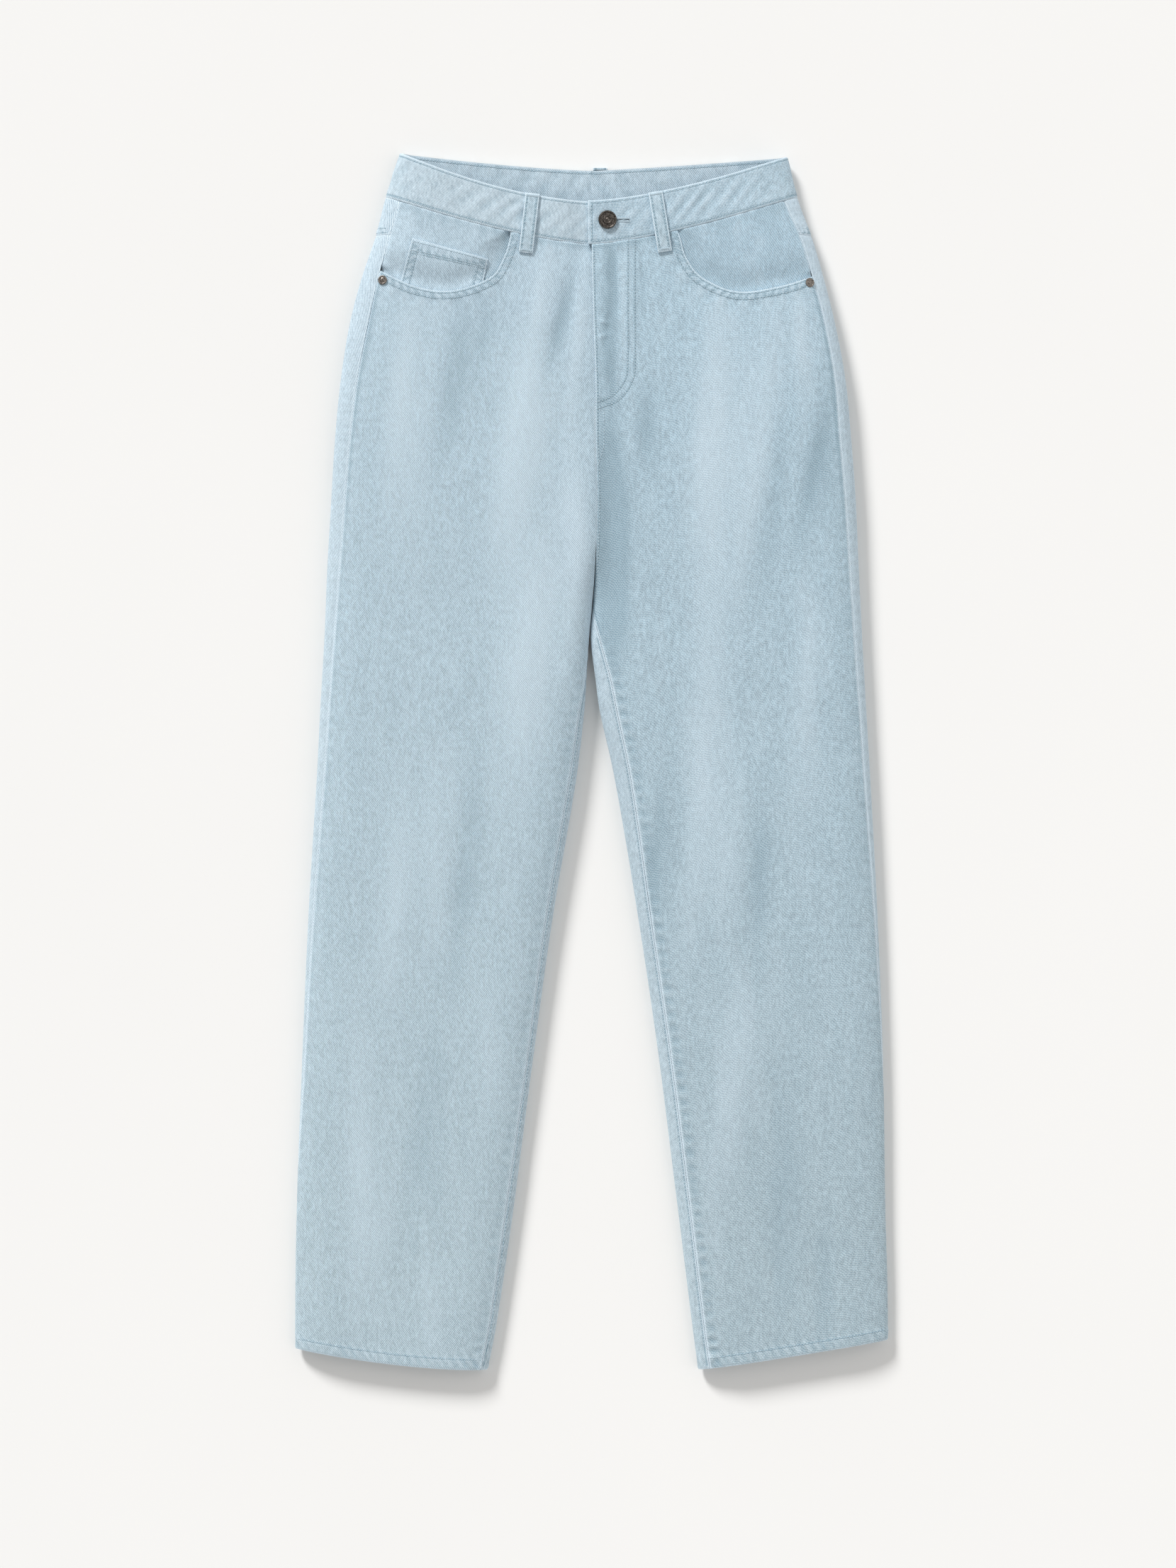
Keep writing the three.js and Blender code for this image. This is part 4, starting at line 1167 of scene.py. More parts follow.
@dataclass
class FrontPanel:
    """A front leg panel with its scooped pocket opening, turned hem and folds."""

    half: Half
    noise: SoftNoise = field(default_factory=lambda: SoftNoise(7))
    row_leg: float = 3.4
    row_top: float = 1.9
    pocket_hem: float = 8.0
    inseam_pucker: float = 0.25
    inseam_tone: float = 0.35
    inseam_pale: float = 0.4
    centre_rows: tuple[float, ...] = ()
    roped_at: float = 95.0
    roped_over: float = 48.0
    pocket_low: float = 405.0
    pocket_inner: float = 55.0
    snap: float = 2.6
    straight_below: float = 375.0

    def levels(self) -> np.ndarray:
        """The rows' levels, closer at the top and in the hem."""
        hem_line = HEM_EDGE + HEM_DEEP
        parts = (
            spaced(WAIST_SEAM, 330, self.row_top),
            spaced(330, hem_line + 16, self.row_leg),
            spaced(hem_line + 16, HEM_EDGE, 1.35),
            [HEM_EDGE],
        )
        return np.concatenate(parts)[:, None]

    def places(self, y: np.ndarray) -> np.ndarray:
        """Places of the columns, closer at both seams."""
        start, end = self.half.inner_end(y, True), self.half.outseam_place(y, -GAP / 2)
        rolled_up = (np.arange(22) / 22) ** 1.25
        rolled_down = 3 - (1 - np.arange(25) / 24) ** 1.25
        c = np.concatenate([rolled_up, 1 + np.arange(50) / 50, rolled_down])[None, :]
        ends = [stretch(start, 1.0, c), c + 0 * y]
        return np.select([c < 1, c <= 2], ends, stretch(2.0, end, c - 2))

    def line(self, level: np.ndarray, x: np.ndarray, place: np.ndarray) -> np.ndarray:
        """The level of a row at x: the waist seam at the top, the hem at the bottom."""
        share = np.clip((level - self.straight_below) / (WAIST_SEAM - self.straight_below), 0, 1)
        seam = self.half.front_seam(x) - GAP / 2 - WAIST_SEAM
        return level + share * seam + hem_share(level) * (self.half.hem(x) - HEM_EDGE)

    def relief(self, x: np.ndarray, y: np.ndarray, arcs: tuple[np.ndarray, np.ndarray]) -> Relief:
        """Seams, puckers, the hem and soft unevenness over the plain surface.

        Args:
            x: Points' x.
            y: Points' y.
            arcs: Distances along the row from the inner and the outer end.

        Returns:
            The relief.
        """
        half, noise = self.half, self.noise
        inner, outer = arcs
        leg = 1 - smooth(y, 80, 150)
        relief = Relief.over(x)
        relief.soften(noise, x, y)
        relief.border(inner, y, self.centre_rows, 0.5 - 0.35 * leg, 1 - leg)
        sewn = 0.12 + 0.88 * leg
        wave = ripple(y, 11.5, noise) * sewn
        relief.pucker(inner, wave - 0.5 * sewn, 6.0, 4.6, self.inseam_pucker, self.inseam_tone)
        relief.worn += self.inseam_pale * leg * bell(inner - 0.8, 1.3)
        relief.rise += 0.3 * leg * bell(inner - 0.9, 1.2)
        # The large folds pale on their ridges with wear and painted light, and darken in their troughs with
        # painted shade
        relief.worn += FOLD_TONE * sum(one.height(x, y) for one in LARGE_FOLDS)
        relief.border(outer, y, (), 0.4)
        relief.pucker(outer, ripple(y + 40, 13, noise), 4, 5, 0.14, 0.3)
        relief.worn -= (0.25 + 0.7 * smooth(y, 150, 330)) * bell(outer - 2.6, 1.5)
        # The turned hem, raised, with its puckers running aslant
        up = y - half.hem(x)
        relief.border(up, x, (HEM_DEEP - HEM_ROW_SHORT,), 0.5)
        relief.rise += 0.42 * (1 - smooth(up, HEM_DEEP - 0.9, HEM_DEEP + 0.5))
        rope = ripple(x + 0.62 * up, 8.6, noise)
        band = smooth(up, 0.4, 3.2) * (1 - smooth(up, HEM_DEEP - 2, HEM_DEEP + 7))
        relief.rise += 0.42 * rope * band
        relief.worn += 0.75 * rope * band
        # Gathered a little where it goes under the waistband, with a painted shadow along the waistband's
        # lower edge
        below = half.front_seam(x) - y
        relief.border(below, x, (), 0.35)
        relief.pucker(below, ripple(x, 15, noise), 0, 13, 0.2, 0.35)
        relief.worn -= 1.1 * bell(below, 5)
        return relief

    def pocket_edge(self, relief: Relief, away: np.ndarray, arc: np.ndarray) -> None:
        """The turned edge of the pocket opening, with its two rows and its puckers.

        Args:
            relief: The panel's relief.
            away: Distance into the panel from the opening's line.
            arc: Distance along the line.
        """
        relief.rise += 0.4 * (1 - smooth(away, self.pocket_hem - 0.4, self.pocket_hem + 0.9))
        relief.border(away, arc, POCKET_ROWS, 0.55)
        deep = bell((arc - self.roped_at) / self.roped_over, 1.0)
        wave = ripple(arc + 0.5 * away, ROPE_LENGTH, self.noise)
        relief.pucker(away, wave, 5.2, 3.4, 0.22 + 0.3 * deep, 0.3 + 0.6 * deep)
        relief.pucker(away, ripple(arc, 17, self.noise), 12, 6.0, 0.35, 0.35)

    def build(self, finishes: Finishes) -> bpy.types.Object:
        """Make the panel.

        Args:
            finishes: The materials.

        Returns:
            The panel.
        """
        half, name = self.half, self.half.name
        y, place = settle(half, self.levels(), self.places, self.line)
        x = half.section(y, place)[0]
        opening = OPENINGS[name]
        near = (y > self.pocket_low) & (np.abs(x) > self.pocket_inner)
        found = opening.nearest(x[near], y[near], half.side)
        away, arc = np.full(x.shape, -99.0), np.zeros(x.shape)
        away[near], arc[near] = found[0], found[1]
        corners = away[:-1, :-1] + away[1:, :-1] + away[1:, 1:] + away[:-1, 1:]
        keep = corners < 0
        pad = np.pad(keep, 1)
        touched = pad[:-1, :-1] | pad[1:, :-1] | pad[:-1, 1:] | pad[1:, 1:]
        inside = pad[:-1, :-1] & pad[1:, :-1] & pad[:-1, 1:] & pad[1:, 1:]
        rim = touched & ~inside & near & (np.abs(away) < self.snap)
        snapped = rim[near]
        x[rim], y[rim] = found[2][snapped], found[3][snapped]
        place = np.where(rim, half.place_at(x, y), place)
        away = np.where(rim, 0.0, away)
        plain = half.surface(y, place, 0)
        relief = self.relief(x, y, arcs_from_ends(plain))
        self.pocket_edge(relief, np.where(near, -away, Relief.FAR), arc)
        self.extra(relief, x, y)
        wall = CLOTH + (HEM_WALL - CLOTH) * (1 - smooth(y - half.hem(x), HEM_DEEP - 1, HEM_DEEP))
        outer = half.surface(y, place, relief.rise)
        inner = half.surface(y, place, np.minimum(-wall, relief.rise - THINNEST))
        made = shell(f"front_panel_{name}", outer, inner, relief, half.side < 0, keep)
        finish(made, [f"front_{name}"], "denim", getattr(finishes, f"front_{name}"))
        return made

    def extra(self, relief: Relief, x: np.ndarray, y: np.ndarray) -> None:
        """Relief that only one side has."""


@dataclass
class RightFrontPanel(FrontPanel):
    """The wearer's right front, which runs under the fly."""

    dive: float = 2.3
    creases: tuple[Fold, ...] = (
        Fold(-30, 396, 76, 50, 7, -1.3),
        Fold(-13, 388, 86, 70, 8, 0.8),
        Fold(-46, 430, 80, 40, 6, 0.7),
        Fold(-68, 280, 80, 92, 20, 1.1),
        Fold(-128, 335, 79, 100, 15, -1.1),
        Fold(-176, 330, 84, 90, 12, 0.9),
        Fold(-96, 396, 82, 34, 7, -0.6),
        Fold(-214, 384, 76, 64, 6, -0.8),
        Fold(-204, 384, 80, 34, 5, -0.4),
        Fold(-54, 90, 82, 130, 20, 0.9),
        Fold(-116, -104, 84, 84, 14, -0.9),
        Fold(-180, -130, 86, 84, 14, 0.8),
        Fold(-96, -260, 100, 70, 10, 0.5),
        Fold(-150, -330, 88, 120, 16, -0.5),
        Fold(-214, -360, 90, 120, 13, 0.6),
        Fold(-150, -490, 92, 60, 12, 0.5),
    )

    def extra(self, relief: Relief, x: np.ndarray, y: np.ndarray) -> None:
        """The edge dips under the fly, with soft creases over the hip and down the leg."""
        from_seam = self.half.inner(y) - x
        relief.rise -= 0.5 * smooth(y, 318, 335) * bell(from_seam, 4)
        below = self.half.front_seam(x) - y
        relief.rise -= self.dive * (1 - smooth(from_seam, 5, 17)) * (1 - smooth(below, 2, 24))
        # The creases darken in their troughs with painted shade and pale on their ridges with wear and
        # painted light
        relief.crease(self.creases, x, y)


@dataclass
class LeftFrontPanel(FrontPanel):
    """The wearer's left front, whose fly laps over the right."""

    inseam_pucker: float = 0.7
    inseam_tone: float = 0.8
    inseam_pale: float = 1.0
    centre_rows: tuple[float, ...] = (2.2,)
    fly_edge: float = 39.5
    row_reach: float = 9.0
    fly_outer: tuple[tuple[float, float], ...] = (
        (39.5, 478), (39.5, 420), (39.5, 362), (37.2, 349), (31.7, 338), (23.9, 330), (14.9, 326),
        (5.2, 323),
    )
    fly_inner: tuple[tuple[float, float], ...] = (
        (33.2, 478), (33.2, 384), (32.8, 372), (32.2, 355), (28.3, 345), (20.5, 336), (13, 331.5),
        (5.2, 329),
    )
    creases: tuple[Fold, ...] = (
        Fold(19.5, 448, 94, 28, 3.4, -1.1),
        Fold(15.5, 398, 82, 18, 3.4, -1.3),
        Fold(18.5, 354, 92, 26, 3.2, -0.9),
        Fold(10, 446, 92, 30, 5.0, 0.3),
        Fold(28, 420, 91, 60, 4.5, 0.6),
        Fold(10, 389, 20, 7, 2.4, 0.7),
        Fold(11, 402, -12, 7, 2.4, 0.7),
        Fold(19, 205, 92, 82, 11, -1.5),
        Fold(50, 305, 88, 40, 10, -1.0),
        Fold(46, 430, 90, 40, 4.5, -0.6),
        Fold(108, 300, 86, 120, 17, 1.1),
        Fold(168, 252, 83, 95, 11, -1.0),
        Fold(204, 270, 78, 62, 9, -1.2),
        Fold(216, 410, 104, 60, 6, -0.7),
        Fold(192, 396, 92, 50, 8, 0.6),
        Fold(100, -10, 86, 150, 17, 0.9),
        Fold(58, -94, 82, 72, 9, -0.9),
        Fold(152, -112, 88, 78, 12, -0.9),
        Fold(196, 60, 88, 120, 14, 0.7),
        Fold(120, -330, 82, 110, 14, 0.6),
        Fold(176, -400, 90, 90, 14, -0.6),
        Fold(214, -480, 90, 60, 10, -0.6),
    )

    def extra(self, relief: Relief, x: np.ndarray, y: np.ndarray) -> None:
        """The raised fly with its J-shaped rows and crease, painted shade beside the fly, and painted shade
        by the crotch.
        """
        from_seam = x - self.half.inner(y)
        fly = smooth(y, 322, 334) * (1 - smooth(from_seam, self.fly_edge - 2.5, self.fly_edge + 0.5))
        relief.rise += 0.4 * fly
        near = (x < 52) & (y > 312) & (y < 482) & (from_seam > 4)
        # The two rows count in opposite senses, so that no third row shows half-way between them
        for points, sense in ((self.fly_outer, 1), (self.fly_inner, -1)):
            away = sense * Line(points).nearest(x[near], y[near], 1)[0]
            nearer = np.abs(away) < np.minimum(np.abs(relief.row[near]), self.row_reach)
            relief.row[near] = np.where(nearer, away, relief.row[near])
            relief.rise[near] -= 0.28 * bell(away, 0.9)
            # Each row's furrow darkened with painted shade
            relief.worn[near] -= 0.4 * bell(away, 1.3)
        # Painted shade in the crease beside the fly and in a spot below it
        fold = bell(x - 20.4, 1.5) * smooth(y, 398, 418) * (1 - smooth(y, 458, 474))
        relief.worn -= 0.9 * (fold + bell(x - 18.7, 1.5) * bell(y - 371, 13))
        # The creases darken in their troughs with painted shade and pale on their ridges with wear and
        # painted light
        relief.crease(self.creases, x, y)
        # A greyer strip along the fly, then painted shade in the valley beside it and the painted shadow of
        # the right leg by the crotch
        relief.worn -= 0.25 * bell(from_seam - 10, 7) * smooth(y, 330, 345)
        relief.worn -= 0.75 * bell(x - 16.5, 5.5) * smooth(y, 345, 365) * (1 - smooth(y, 452, 474))
        relief.worn -= 1.05 * bell(x - 17, 16) * bell(y - 196, 92)


@dataclass
class BackPiece:
    """A back leg panel or a yoke, which wraps round the folds and lies on the surface below."""

    half: Half
    noise: SoftNoise = field(default_factory=lambda: SoftNoise(23))
    row: float = 4.4

    def places(self, y: np.ndarray) -> np.ndarray:
        """Places of the columns, from the outseam round the outer fold to the inner end."""
        start, end = self.half.outseam_place(y, GAP / 2), self.half.inner_end(y, False)
        strips = (3 + np.arange(24) / 24, 4 + np.arange(34) / 34, 5 + np.arange(25) / 24)
        c = np.concatenate(strips)[None, :]
        ends = [stretch(start, 4.0, c - 3), c + 0 * y]
        return np.select([c < 4, c <= 5], ends, stretch(5.0, end, c - 5))

    def seams(self, x: np.ndarray, y: np.ndarray, arcs: tuple[np.ndarray, np.ndarray]) -> Relief:
        """Side seams, soft unevenness, and painted light on the rolled sides."""
        outer, inner = arcs
        leg = 1 - smooth(y, 80, 150)
        relief = Relief.over(x)
        relief.soften(self.noise, x, y, 0.5)
        relief.border(outer, y, (), 0.4)
        relief.pucker(outer, ripple(y + 40, 13, self.noise), 4, 5, 0.14, 0.3)
        relief.border(inner, y, (INSEAM_ROW,), 0.15, leg)
        relief.rise += 0.15 * leg * bell(inner - 1.0, 1.4)
        # Painted light lifts the rolled sides by the outseam and, on the legs, by the inseam
        relief.worn += 0.4 * (1 - smooth(outer, 8, 30)) + 0.2 * leg * (1 - smooth(inner, 8, 26))
        relief.pucker(inner, ripple(y, 10.5, self.noise), 3.4, 3.4, 0.35 * leg, 0.6 * leg)
        return relief

    def wrap(
        self, name: str, y: np.ndarray, place: np.ndarray, relief: Relief, wall: np.ndarray
    ) -> bpy.types.Object:
        """Close the piece as a wall; nothing reaches below the plain underside.

        Args:
            name: Object's name.
            y: Levels.
            place: Places round the section.
            relief: Its relief.
            wall: Thickness.

        Returns:
            The piece.
        """
        under = smooth(place, 3.3, 4) * (1 - smooth(place, 5, 5.6))
        rise = relief.rise * (1 - under) + np.minimum(relief.rise, 0) * under
        outer = self.half.surface(y, place, rise)
        outer[..., 2] = np.maximum(outer[..., 2], 0)
        inner = self.half.surface(y, place, -wall)
        return shell(name, outer, inner, relief, self.half.side < 0)


@dataclass
class BackPanel(BackPiece):
    """A back leg panel, from the yoke seam to the hem."""

    straight_below: float = 340.0

    def build(self, finishes: Finishes) -> bpy.types.Object:
        """Make the panel."""
        half = self.half
        hem_line = HEM_EDGE + HEM_DEEP
        parts = (
            spaced(YOKE_SIDE, hem_line + 12, self.row),
            spaced(hem_line + 12, HEM_EDGE, 1.8),
            [HEM_EDGE],
        )
        levels = np.concatenate(parts)[:, None]

        def line(level: np.ndarray, x: np.ndarray, place: np.ndarray) -> np.ndarray:
            """The row's level: the yoke seam at the top, the hem at the bottom."""
            share = np.clip((level - self.straight_below) / (YOKE_SIDE - self.straight_below), 0, 1)
            top = yoke_line(x) - GAP / 2 - YOKE_SIDE
            return level + share * top + hem_share(level) * (half.hem(x) - HEM_EDGE)

        y, place = settle(half, levels, self.places, line)
        plain = half.surface(y, place, 0)
        x = plain[..., 0]
        relief = self.seams(x, y, arcs_from_ends(plain))
        up = y - half.hem(x)
        relief.border(up, x, (HEM_DEEP - HEM_ROW_SHORT,), 0.5)
        relief.rise += 0.3 * (1 - smooth(up, HEM_DEEP - 0.9, HEM_DEEP + 0.5))
        rope = ripple(x + 0.62 * up, 8.6, self.noise)
        band = smooth(up, 0.4, 3.2) * (1 - smooth(up, HEM_DEEP - 2, HEM_DEEP + 6))
        relief.rise += 0.4 * rope * band
        relief.worn += 0.7 * rope * band
        relief.border(yoke_line(x) - y, x, (), 0.4)
        wall = CLOTH + (HEM_WALL - CLOTH) * (1 - smooth(up, HEM_DEEP - 1, HEM_DEEP))
        made = self.wrap(f"back_panel_{half.name}", y, place, relief, wall)
        finish(made, [f"back_{half.name}"], "denim_back", finishes.back)
        return made


@dataclass
class Yoke(BackPiece):
    """A back yoke, from the waist seam to the yoke seam."""

    def build(self, finishes: Finishes) -> bpy.types.Object:
        """Make the yoke."""
        half = self.half
        levels = np.linspace(WAIST_SEAM, YOKE_SIDE, 20)[:, None]

        def line(level: np.ndarray, x: np.ndarray, place: np.ndarray) -> np.ndarray:
            """The row's level between the two seams."""
            share = (WAIST_SEAM - level) / (WAIST_SEAM - YOKE_SIDE)
            top = np.where(place < 3, half.front_seam(x), BACK_SEAM(x)) - GAP / 2
            return stretch(top, yoke_line(x) + GAP / 2, share)

        y, place = settle(half, levels, self.places, line)
        plain = half.surface(y, place, 0)
        x = plain[..., 0]
        relief = self.seams(x, y, arcs_from_ends(plain))
        up = y - yoke_line(x)
        relief.rise += 0.35 * (1 - smooth(up, 6.2, 7.4))
        relief.border(up, x, YOKE_ROWS, 0.4)
        relief.pucker(up, ripple(x, 8, self.noise), 3.6, 3, 0.18, 0.5)
        top = np.where(place < 3, half.front_seam(x), BACK_SEAM(x)) - y
        relief.border(top, x, (), 0.3)
        made = self.wrap(f"yoke_cloth_{half.name}", y, place, relief, np.full(x.shape, CLOTH))
        finish(made, [f"yoke_{half.name}"], "denim_back", finishes.back)
        return made


@dataclass
class Facing:
    """The denim behind a front pocket's opening."""

    half: Half
    noise: SoftNoise = field(default_factory=lambda: SoftNoise(31))
    bottom: float = 414.0
    tuck: float = 13.0
    gape: float = 0.9
    shade: float = 0.8

    def depth(self, x: np.ndarray, y: np.ndarray) -> np.ndarray:
        """How deep the facing lies: flush at the hip, under the front panel at the opening."""
        under = CLOTH + 0.15 + GAP + (COIN_CLOTH + LAID + 0.1 if self.half.side < 0 else 0.1)
        away = OPENINGS[self.half.name].nearest(x, y, self.half.side)[0]
        hip = self.half.side * (self.half.section(y, self.half.outseam_place(y, 0))[0] - x)
        at_hip = bell(hip, 9) * smooth(away, 1, 6)
        at_top = bell(self.half.front_seam(x) - y, 15)
        gape = self.gape * bell(away - 7, 8) * smooth(self.half.front_seam(x) - y, 6, 26)
        return under * (1 - smooth(away, 4 - 4 * at_top, 30 - 22 * at_top)) * (1 - at_hip) + gape

    def build(self, finishes: Finishes) -> bpy.types.Object:
        """Make the facing."""
        half, name = self.half, self.half.name
        inner_x = OPENINGS[name].points[0, 0] - half.side * self.tuck
        v = np.linspace(0, 1, 56)[:, None]
        f = np.linspace(0, 1, 80)[None, :]
        x, y = inner_x + 0 * v * f, self.bottom + 0 * v * f
        for _ in range(6):
            y = stretch(half.front_seam(x) - GAP / 2, self.bottom, v)
            x = stretch(inner_x, half.section(y, half.outseam_place(y, -GAP))[0], f)
        depth = self.depth(x, y)
        hip = half.side * (half.section(y, half.outseam_place(y, -GAP))[0] - x)
        relief = Relief.over(x)
        relief.soften(self.noise, x, y, 0.8)
        relief.border(hip, y, (), 0.4)
        top = half.front_seam(x) - y
        relief.border(top, x, (), 0.35)
        relief.pucker(top, ripple(x, 12, self.noise), 0, 12, 0.2, 0.4)
        away = OPENINGS[name].nearest(x, y, half.side)[0]
        inward = half.side * (x - OPENINGS[name].points[0, 0])
        # Painted shadow along the opening, cast by the panel's edge, and under the waistband, with painted
        # shade close to the opening
        relief.worn -= self.shade * bell(away, 10) * bell(inward / 48, 1.0) + 0.45 * bell(top, 7)
        relief.worn -= 0.2 * bell(away, 8)
        relief.worn += 0.35 * self.noise(x / 11, y / 19)
        place = half.place_at(x, y)
        outer = half.surface(y, place, relief.rise - depth)
        inner = half.surface(y, place, -depth - CLOTH)
        made = shell(f"facing_cloth_{name}", outer, inner, relief, half.side < 0)
        finish(made, [f"pocket_facing_{name}"], "denim_facing", finishes.facings[name])
        return made


@dataclass
class CoinPocket:
    """The coin pocket, laid on the right facing."""

    facing: Facing
    top_left: tuple[float, float] = (-164.5, 479.0)
    top_right: tuple[float, float] = (-95.2, 460.0)
    bottom_left: tuple[float, float] = (-180.0, 424.0)
    bottom_right: tuple[float, float] = (-103.0, 422.0)
    deep: float = 55.0
    wide: float = 74.0

    def at(self, f: np.ndarray, v: np.ndarray) -> tuple[np.ndarray, np.ndarray]:
        """x and y at a share across from the right edge and a share down."""
        top = [stretch(self.top_right[k], self.top_left[k], f) for k in (0, 1)]
        low = [stretch(self.bottom_right[k], self.bottom_left[k], f) for k in (0, 1)]
        return stretch(top[0], low[0], v), stretch(top[1], low[1], v)

    def build(self, finishes: Finishes) -> bpy.types.Object:
        """Make the coin pocket."""
        half = self.facing.half
        v, f = np.linspace(0, 1, 44)[:, None], np.linspace(0, 1, 60)[None, :]
        x, y = self.at(f, v)
        seat = self.facing.depth(x, y) - LAID
        down, across = v * self.deep + 0 * f, f * self.wide + 0 * v
        relief = Relief.over(x)
        relief.soften(self.facing.noise, x, y, 0.6)
        relief.border(down, across, (10.6, 12.9), 0.4)
        for side_edge in (across, self.wide - across):
            relief.border(side_edge, down, (2.2, 8.2), 0.4)
        relief.rise += 0.28 * (1 - smooth(down, 12.2, 13.4))
        relief.pucker(down, ripple(across, 7, self.facing.noise), 7, 5, 0.14, 0.4)
        place = half.place_at(x, y)
        outer = half.surface(y, place, relief.rise + COIN_CLOTH - seat)
        inner = half.surface(y, place, -seat)
        made = shell("coin_pocket_cloth", outer, inner, relief, True)
        finish(made, ["coin_pocket"], "denim_facing", finishes.facings["right"])
        return made


@dataclass
class Waistband:
    """The waistband: one strip from its right end, which lies under, round the back to its left end."""

    lap_under: float = 38.0
    lap_over: float = 3.0
    dive_from: float = -30.0
    dive_to: float = -7.0
    button_x: float = BUTTON_AT[0]
    button_y: float = BUTTON_AT[1]
    slit_end: float = 34.0
    creased_at: float = 128.0
    creased_over: float = 46.0
    height: float = 40.0
    rows: int = 49
    slit_half: float = 0.43
    eye: float = 3.1
    lapped_over: float = 20.3
    inside_below: float = 9.0
    noise: SoftNoise = field(default_factory=lambda: SoftNoise(43))

    def columns(self, half: Half) -> np.ndarray:
        """Places of the columns of one half, from its front end to the centre back."""
        lap = self.lap_under if half.side < 0 else self.lap_over
        fine = arch_angle(np.arange(0, 40, 0.85 if half.side > 0 else 1.6), 40.0)
        parts = (spaced(-lap / 100, 0, 0.012), fine, 1 + spaced(0, 1, 0.021), spaced(2, 4, 0.05))
        return np.concatenate([*parts, spaced(4, 6, 0.028), [5.999]])[None, :]

    def build(self, finishes: Finishes) -> bpy.types.Object:
        """Make the waistband.

        Args:
            finishes: The materials.

        Returns:
            The waistband.
        """
        share = np.linspace(0, 1, self.rows)[:, None]
        level = WAIST_SEAM + self.height * share
        outers, inners, reliefs, cells = [], [], [], []
        for half in HALVES:
            places = self.columns(half)

            def line(_: np.ndarray, x: np.ndarray, place: np.ndarray, h: Half = half) -> np.ndarray:
                """The row's level between the waist seam and the band's top edge."""
                low = np.where(place < 3, h.front_seam(x), BACK_SEAM(x)) + GAP / 2
                return stretch(low, np.where(place < 3, h.front_top(x), h.back_top(x)), share)

            y, place = settle(half, level, lambda y, p=places: p + 0 * y, line)
            x = half.section(y, place)[0]
            proud = BAND_PROUD * (1 - smooth(place, 3, 4))
            dive = (BAND_WALL + LAID) * smooth(x, self.dive_from, self.dive_to)
            depth = -proud + (dive * (place < 2) if half.side < 0 else 0)
            plain = half.surface(y, place, -depth)
            arc = arcs_from_ends(plain)[0]
            low = share * self.height + 0 * arc
            high = self.height - low
            relief = Relief.over(arc)
            relief.border(low, arc, (BAND_ROW,), 0.6)
            relief.border(high, arc, (BAND_ROW,), 0.6)
            if half.side > 0:
                relief.border(arc, low, (3.6,), 0.7)
            slant = ripple(arc - half.side * 0.95 * low, 18, self.noise) * bell(low - 20, 15)
            slant *= 0.75 + 0.9 * self.noise(arc / 31, 3.0)
            side_part = bell((arc - self.creased_at) / self.creased_over, 1.0)
            relief.rise += (0.22 + 0.6 * side_part) * slant + 0.25 * self.noise(arc / 24, low / 12)
            # Paler on the slanting creases' ridges and darker in their troughs: wear with painted light and
            # painted shade, and random tone
            relief.worn += (0.3 + 0.6 * side_part) * slant + 0.3 * self.noise(arc / 8, low / 6)
            fine = ripple(arc, 6.5, self.noise)
            for seam in (low, high):
                relief.pucker(seam, fine, 3.4, 3.0, 0.16, 0.45)
            relief.rise = np.where(place > 3.6, np.minimum(relief.rise, 0), relief.rise)
            gathers = ripple(arc, 21, self.noise) * smooth(place, 3.2, 3.8)
            # The inside's gathers painted paler and darker as light and shade, and painted shade along the
            # band's lower row
            relief.worn += 0.5 * gathers - 0.5 * bell(low - 2.2, 1.2)
            keep = np.ones((y.shape[0] - 1, y.shape[1] - 1), bool)
            if half.side > 0:
                mid_x = (x[1:, 1:] + x[:-1, :-1]) / 2
                mid_y = (y[1:, 1:] + y[:-1, :-1]) / 2
                slit = (np.abs(mid_y - self.button_y) < self.slit_half) & (mid_x > self.button_x)
                eye = np.hypot(mid_x - self.button_x, mid_y - self.button_y) < self.eye
                keep = ~((slit & (mid_x < self.slit_end) | eye) & (place[1:, 1:] < 2))
            outers.append(half.surface(y, place, relief.rise - depth))
            inners.append(half.surface(y, place, -depth - BAND_WALL - 0.35 * gathers))
            reliefs.append(relief)
            cells.append(keep)
        keep = np.concatenate([cells[0], np.ones((self.rows - 1, 1), bool), cells[1][:, ::-1]], 1)
        outer, inner = self.join(*outers), self.join(*inners)
        whole = Relief.over(outer[..., 0])
        for label in ("rise", "worn", "edge", "row", "row_two", "run"):
            setattr(whole, label, self.join(*(getattr(one, label) for one in reliefs)))
        made = shell("waistband_cloth", outer, inner, whole, False, keep)
        self.dress(made, finishes)
        return made

    @staticmethod
    def join(right: np.ndarray, left: np.ndarray) -> np.ndarray:
        """Both halves' grids in one, the left half's columns running back to its front end."""
        return np.concatenate([right, left[:, ::-1]], 1)

    def dress(self, made: bpy.types.Object, finishes: Finishes) -> None:
        """Give each half its own run of the twill, and the inside its own material, with its twill turned
        and painted light that keeps it pale.

        Args:
            made: The waistband.
            finishes: The materials.
        """
        materials = (finishes.band_right, finishes.band_left, finishes.band_inside)
        finish(made, ["waistband"], "denim_band", *materials)
        mesh = made.data
        centre = np.zeros(len(mesh.polygons) * 3, np.float32)
        mesh.polygons.foreach_get("center", centre)
        centre = centre.reshape(-1, 3) / MM
        lapped = centre[:, 2] > self.lapped_over
        is_left = (centre[:, 0] > -self.lap_over - 1) & (lapped | (centre[:, 0] > self.lap_under + 1))
        facing_up = np.zeros(len(mesh.polygons) * 3, np.float32)
        mesh.polygons.foreach_get("normal", facing_up)
        inside = (facing_up.reshape(-1, 3)[:, 2] > 0.3) & (centre[:, 2] < self.inside_below)
        mesh.polygons.foreach_set("material_index", np.where(inside, 2, is_left).astype(np.int32))
        mesh.update()


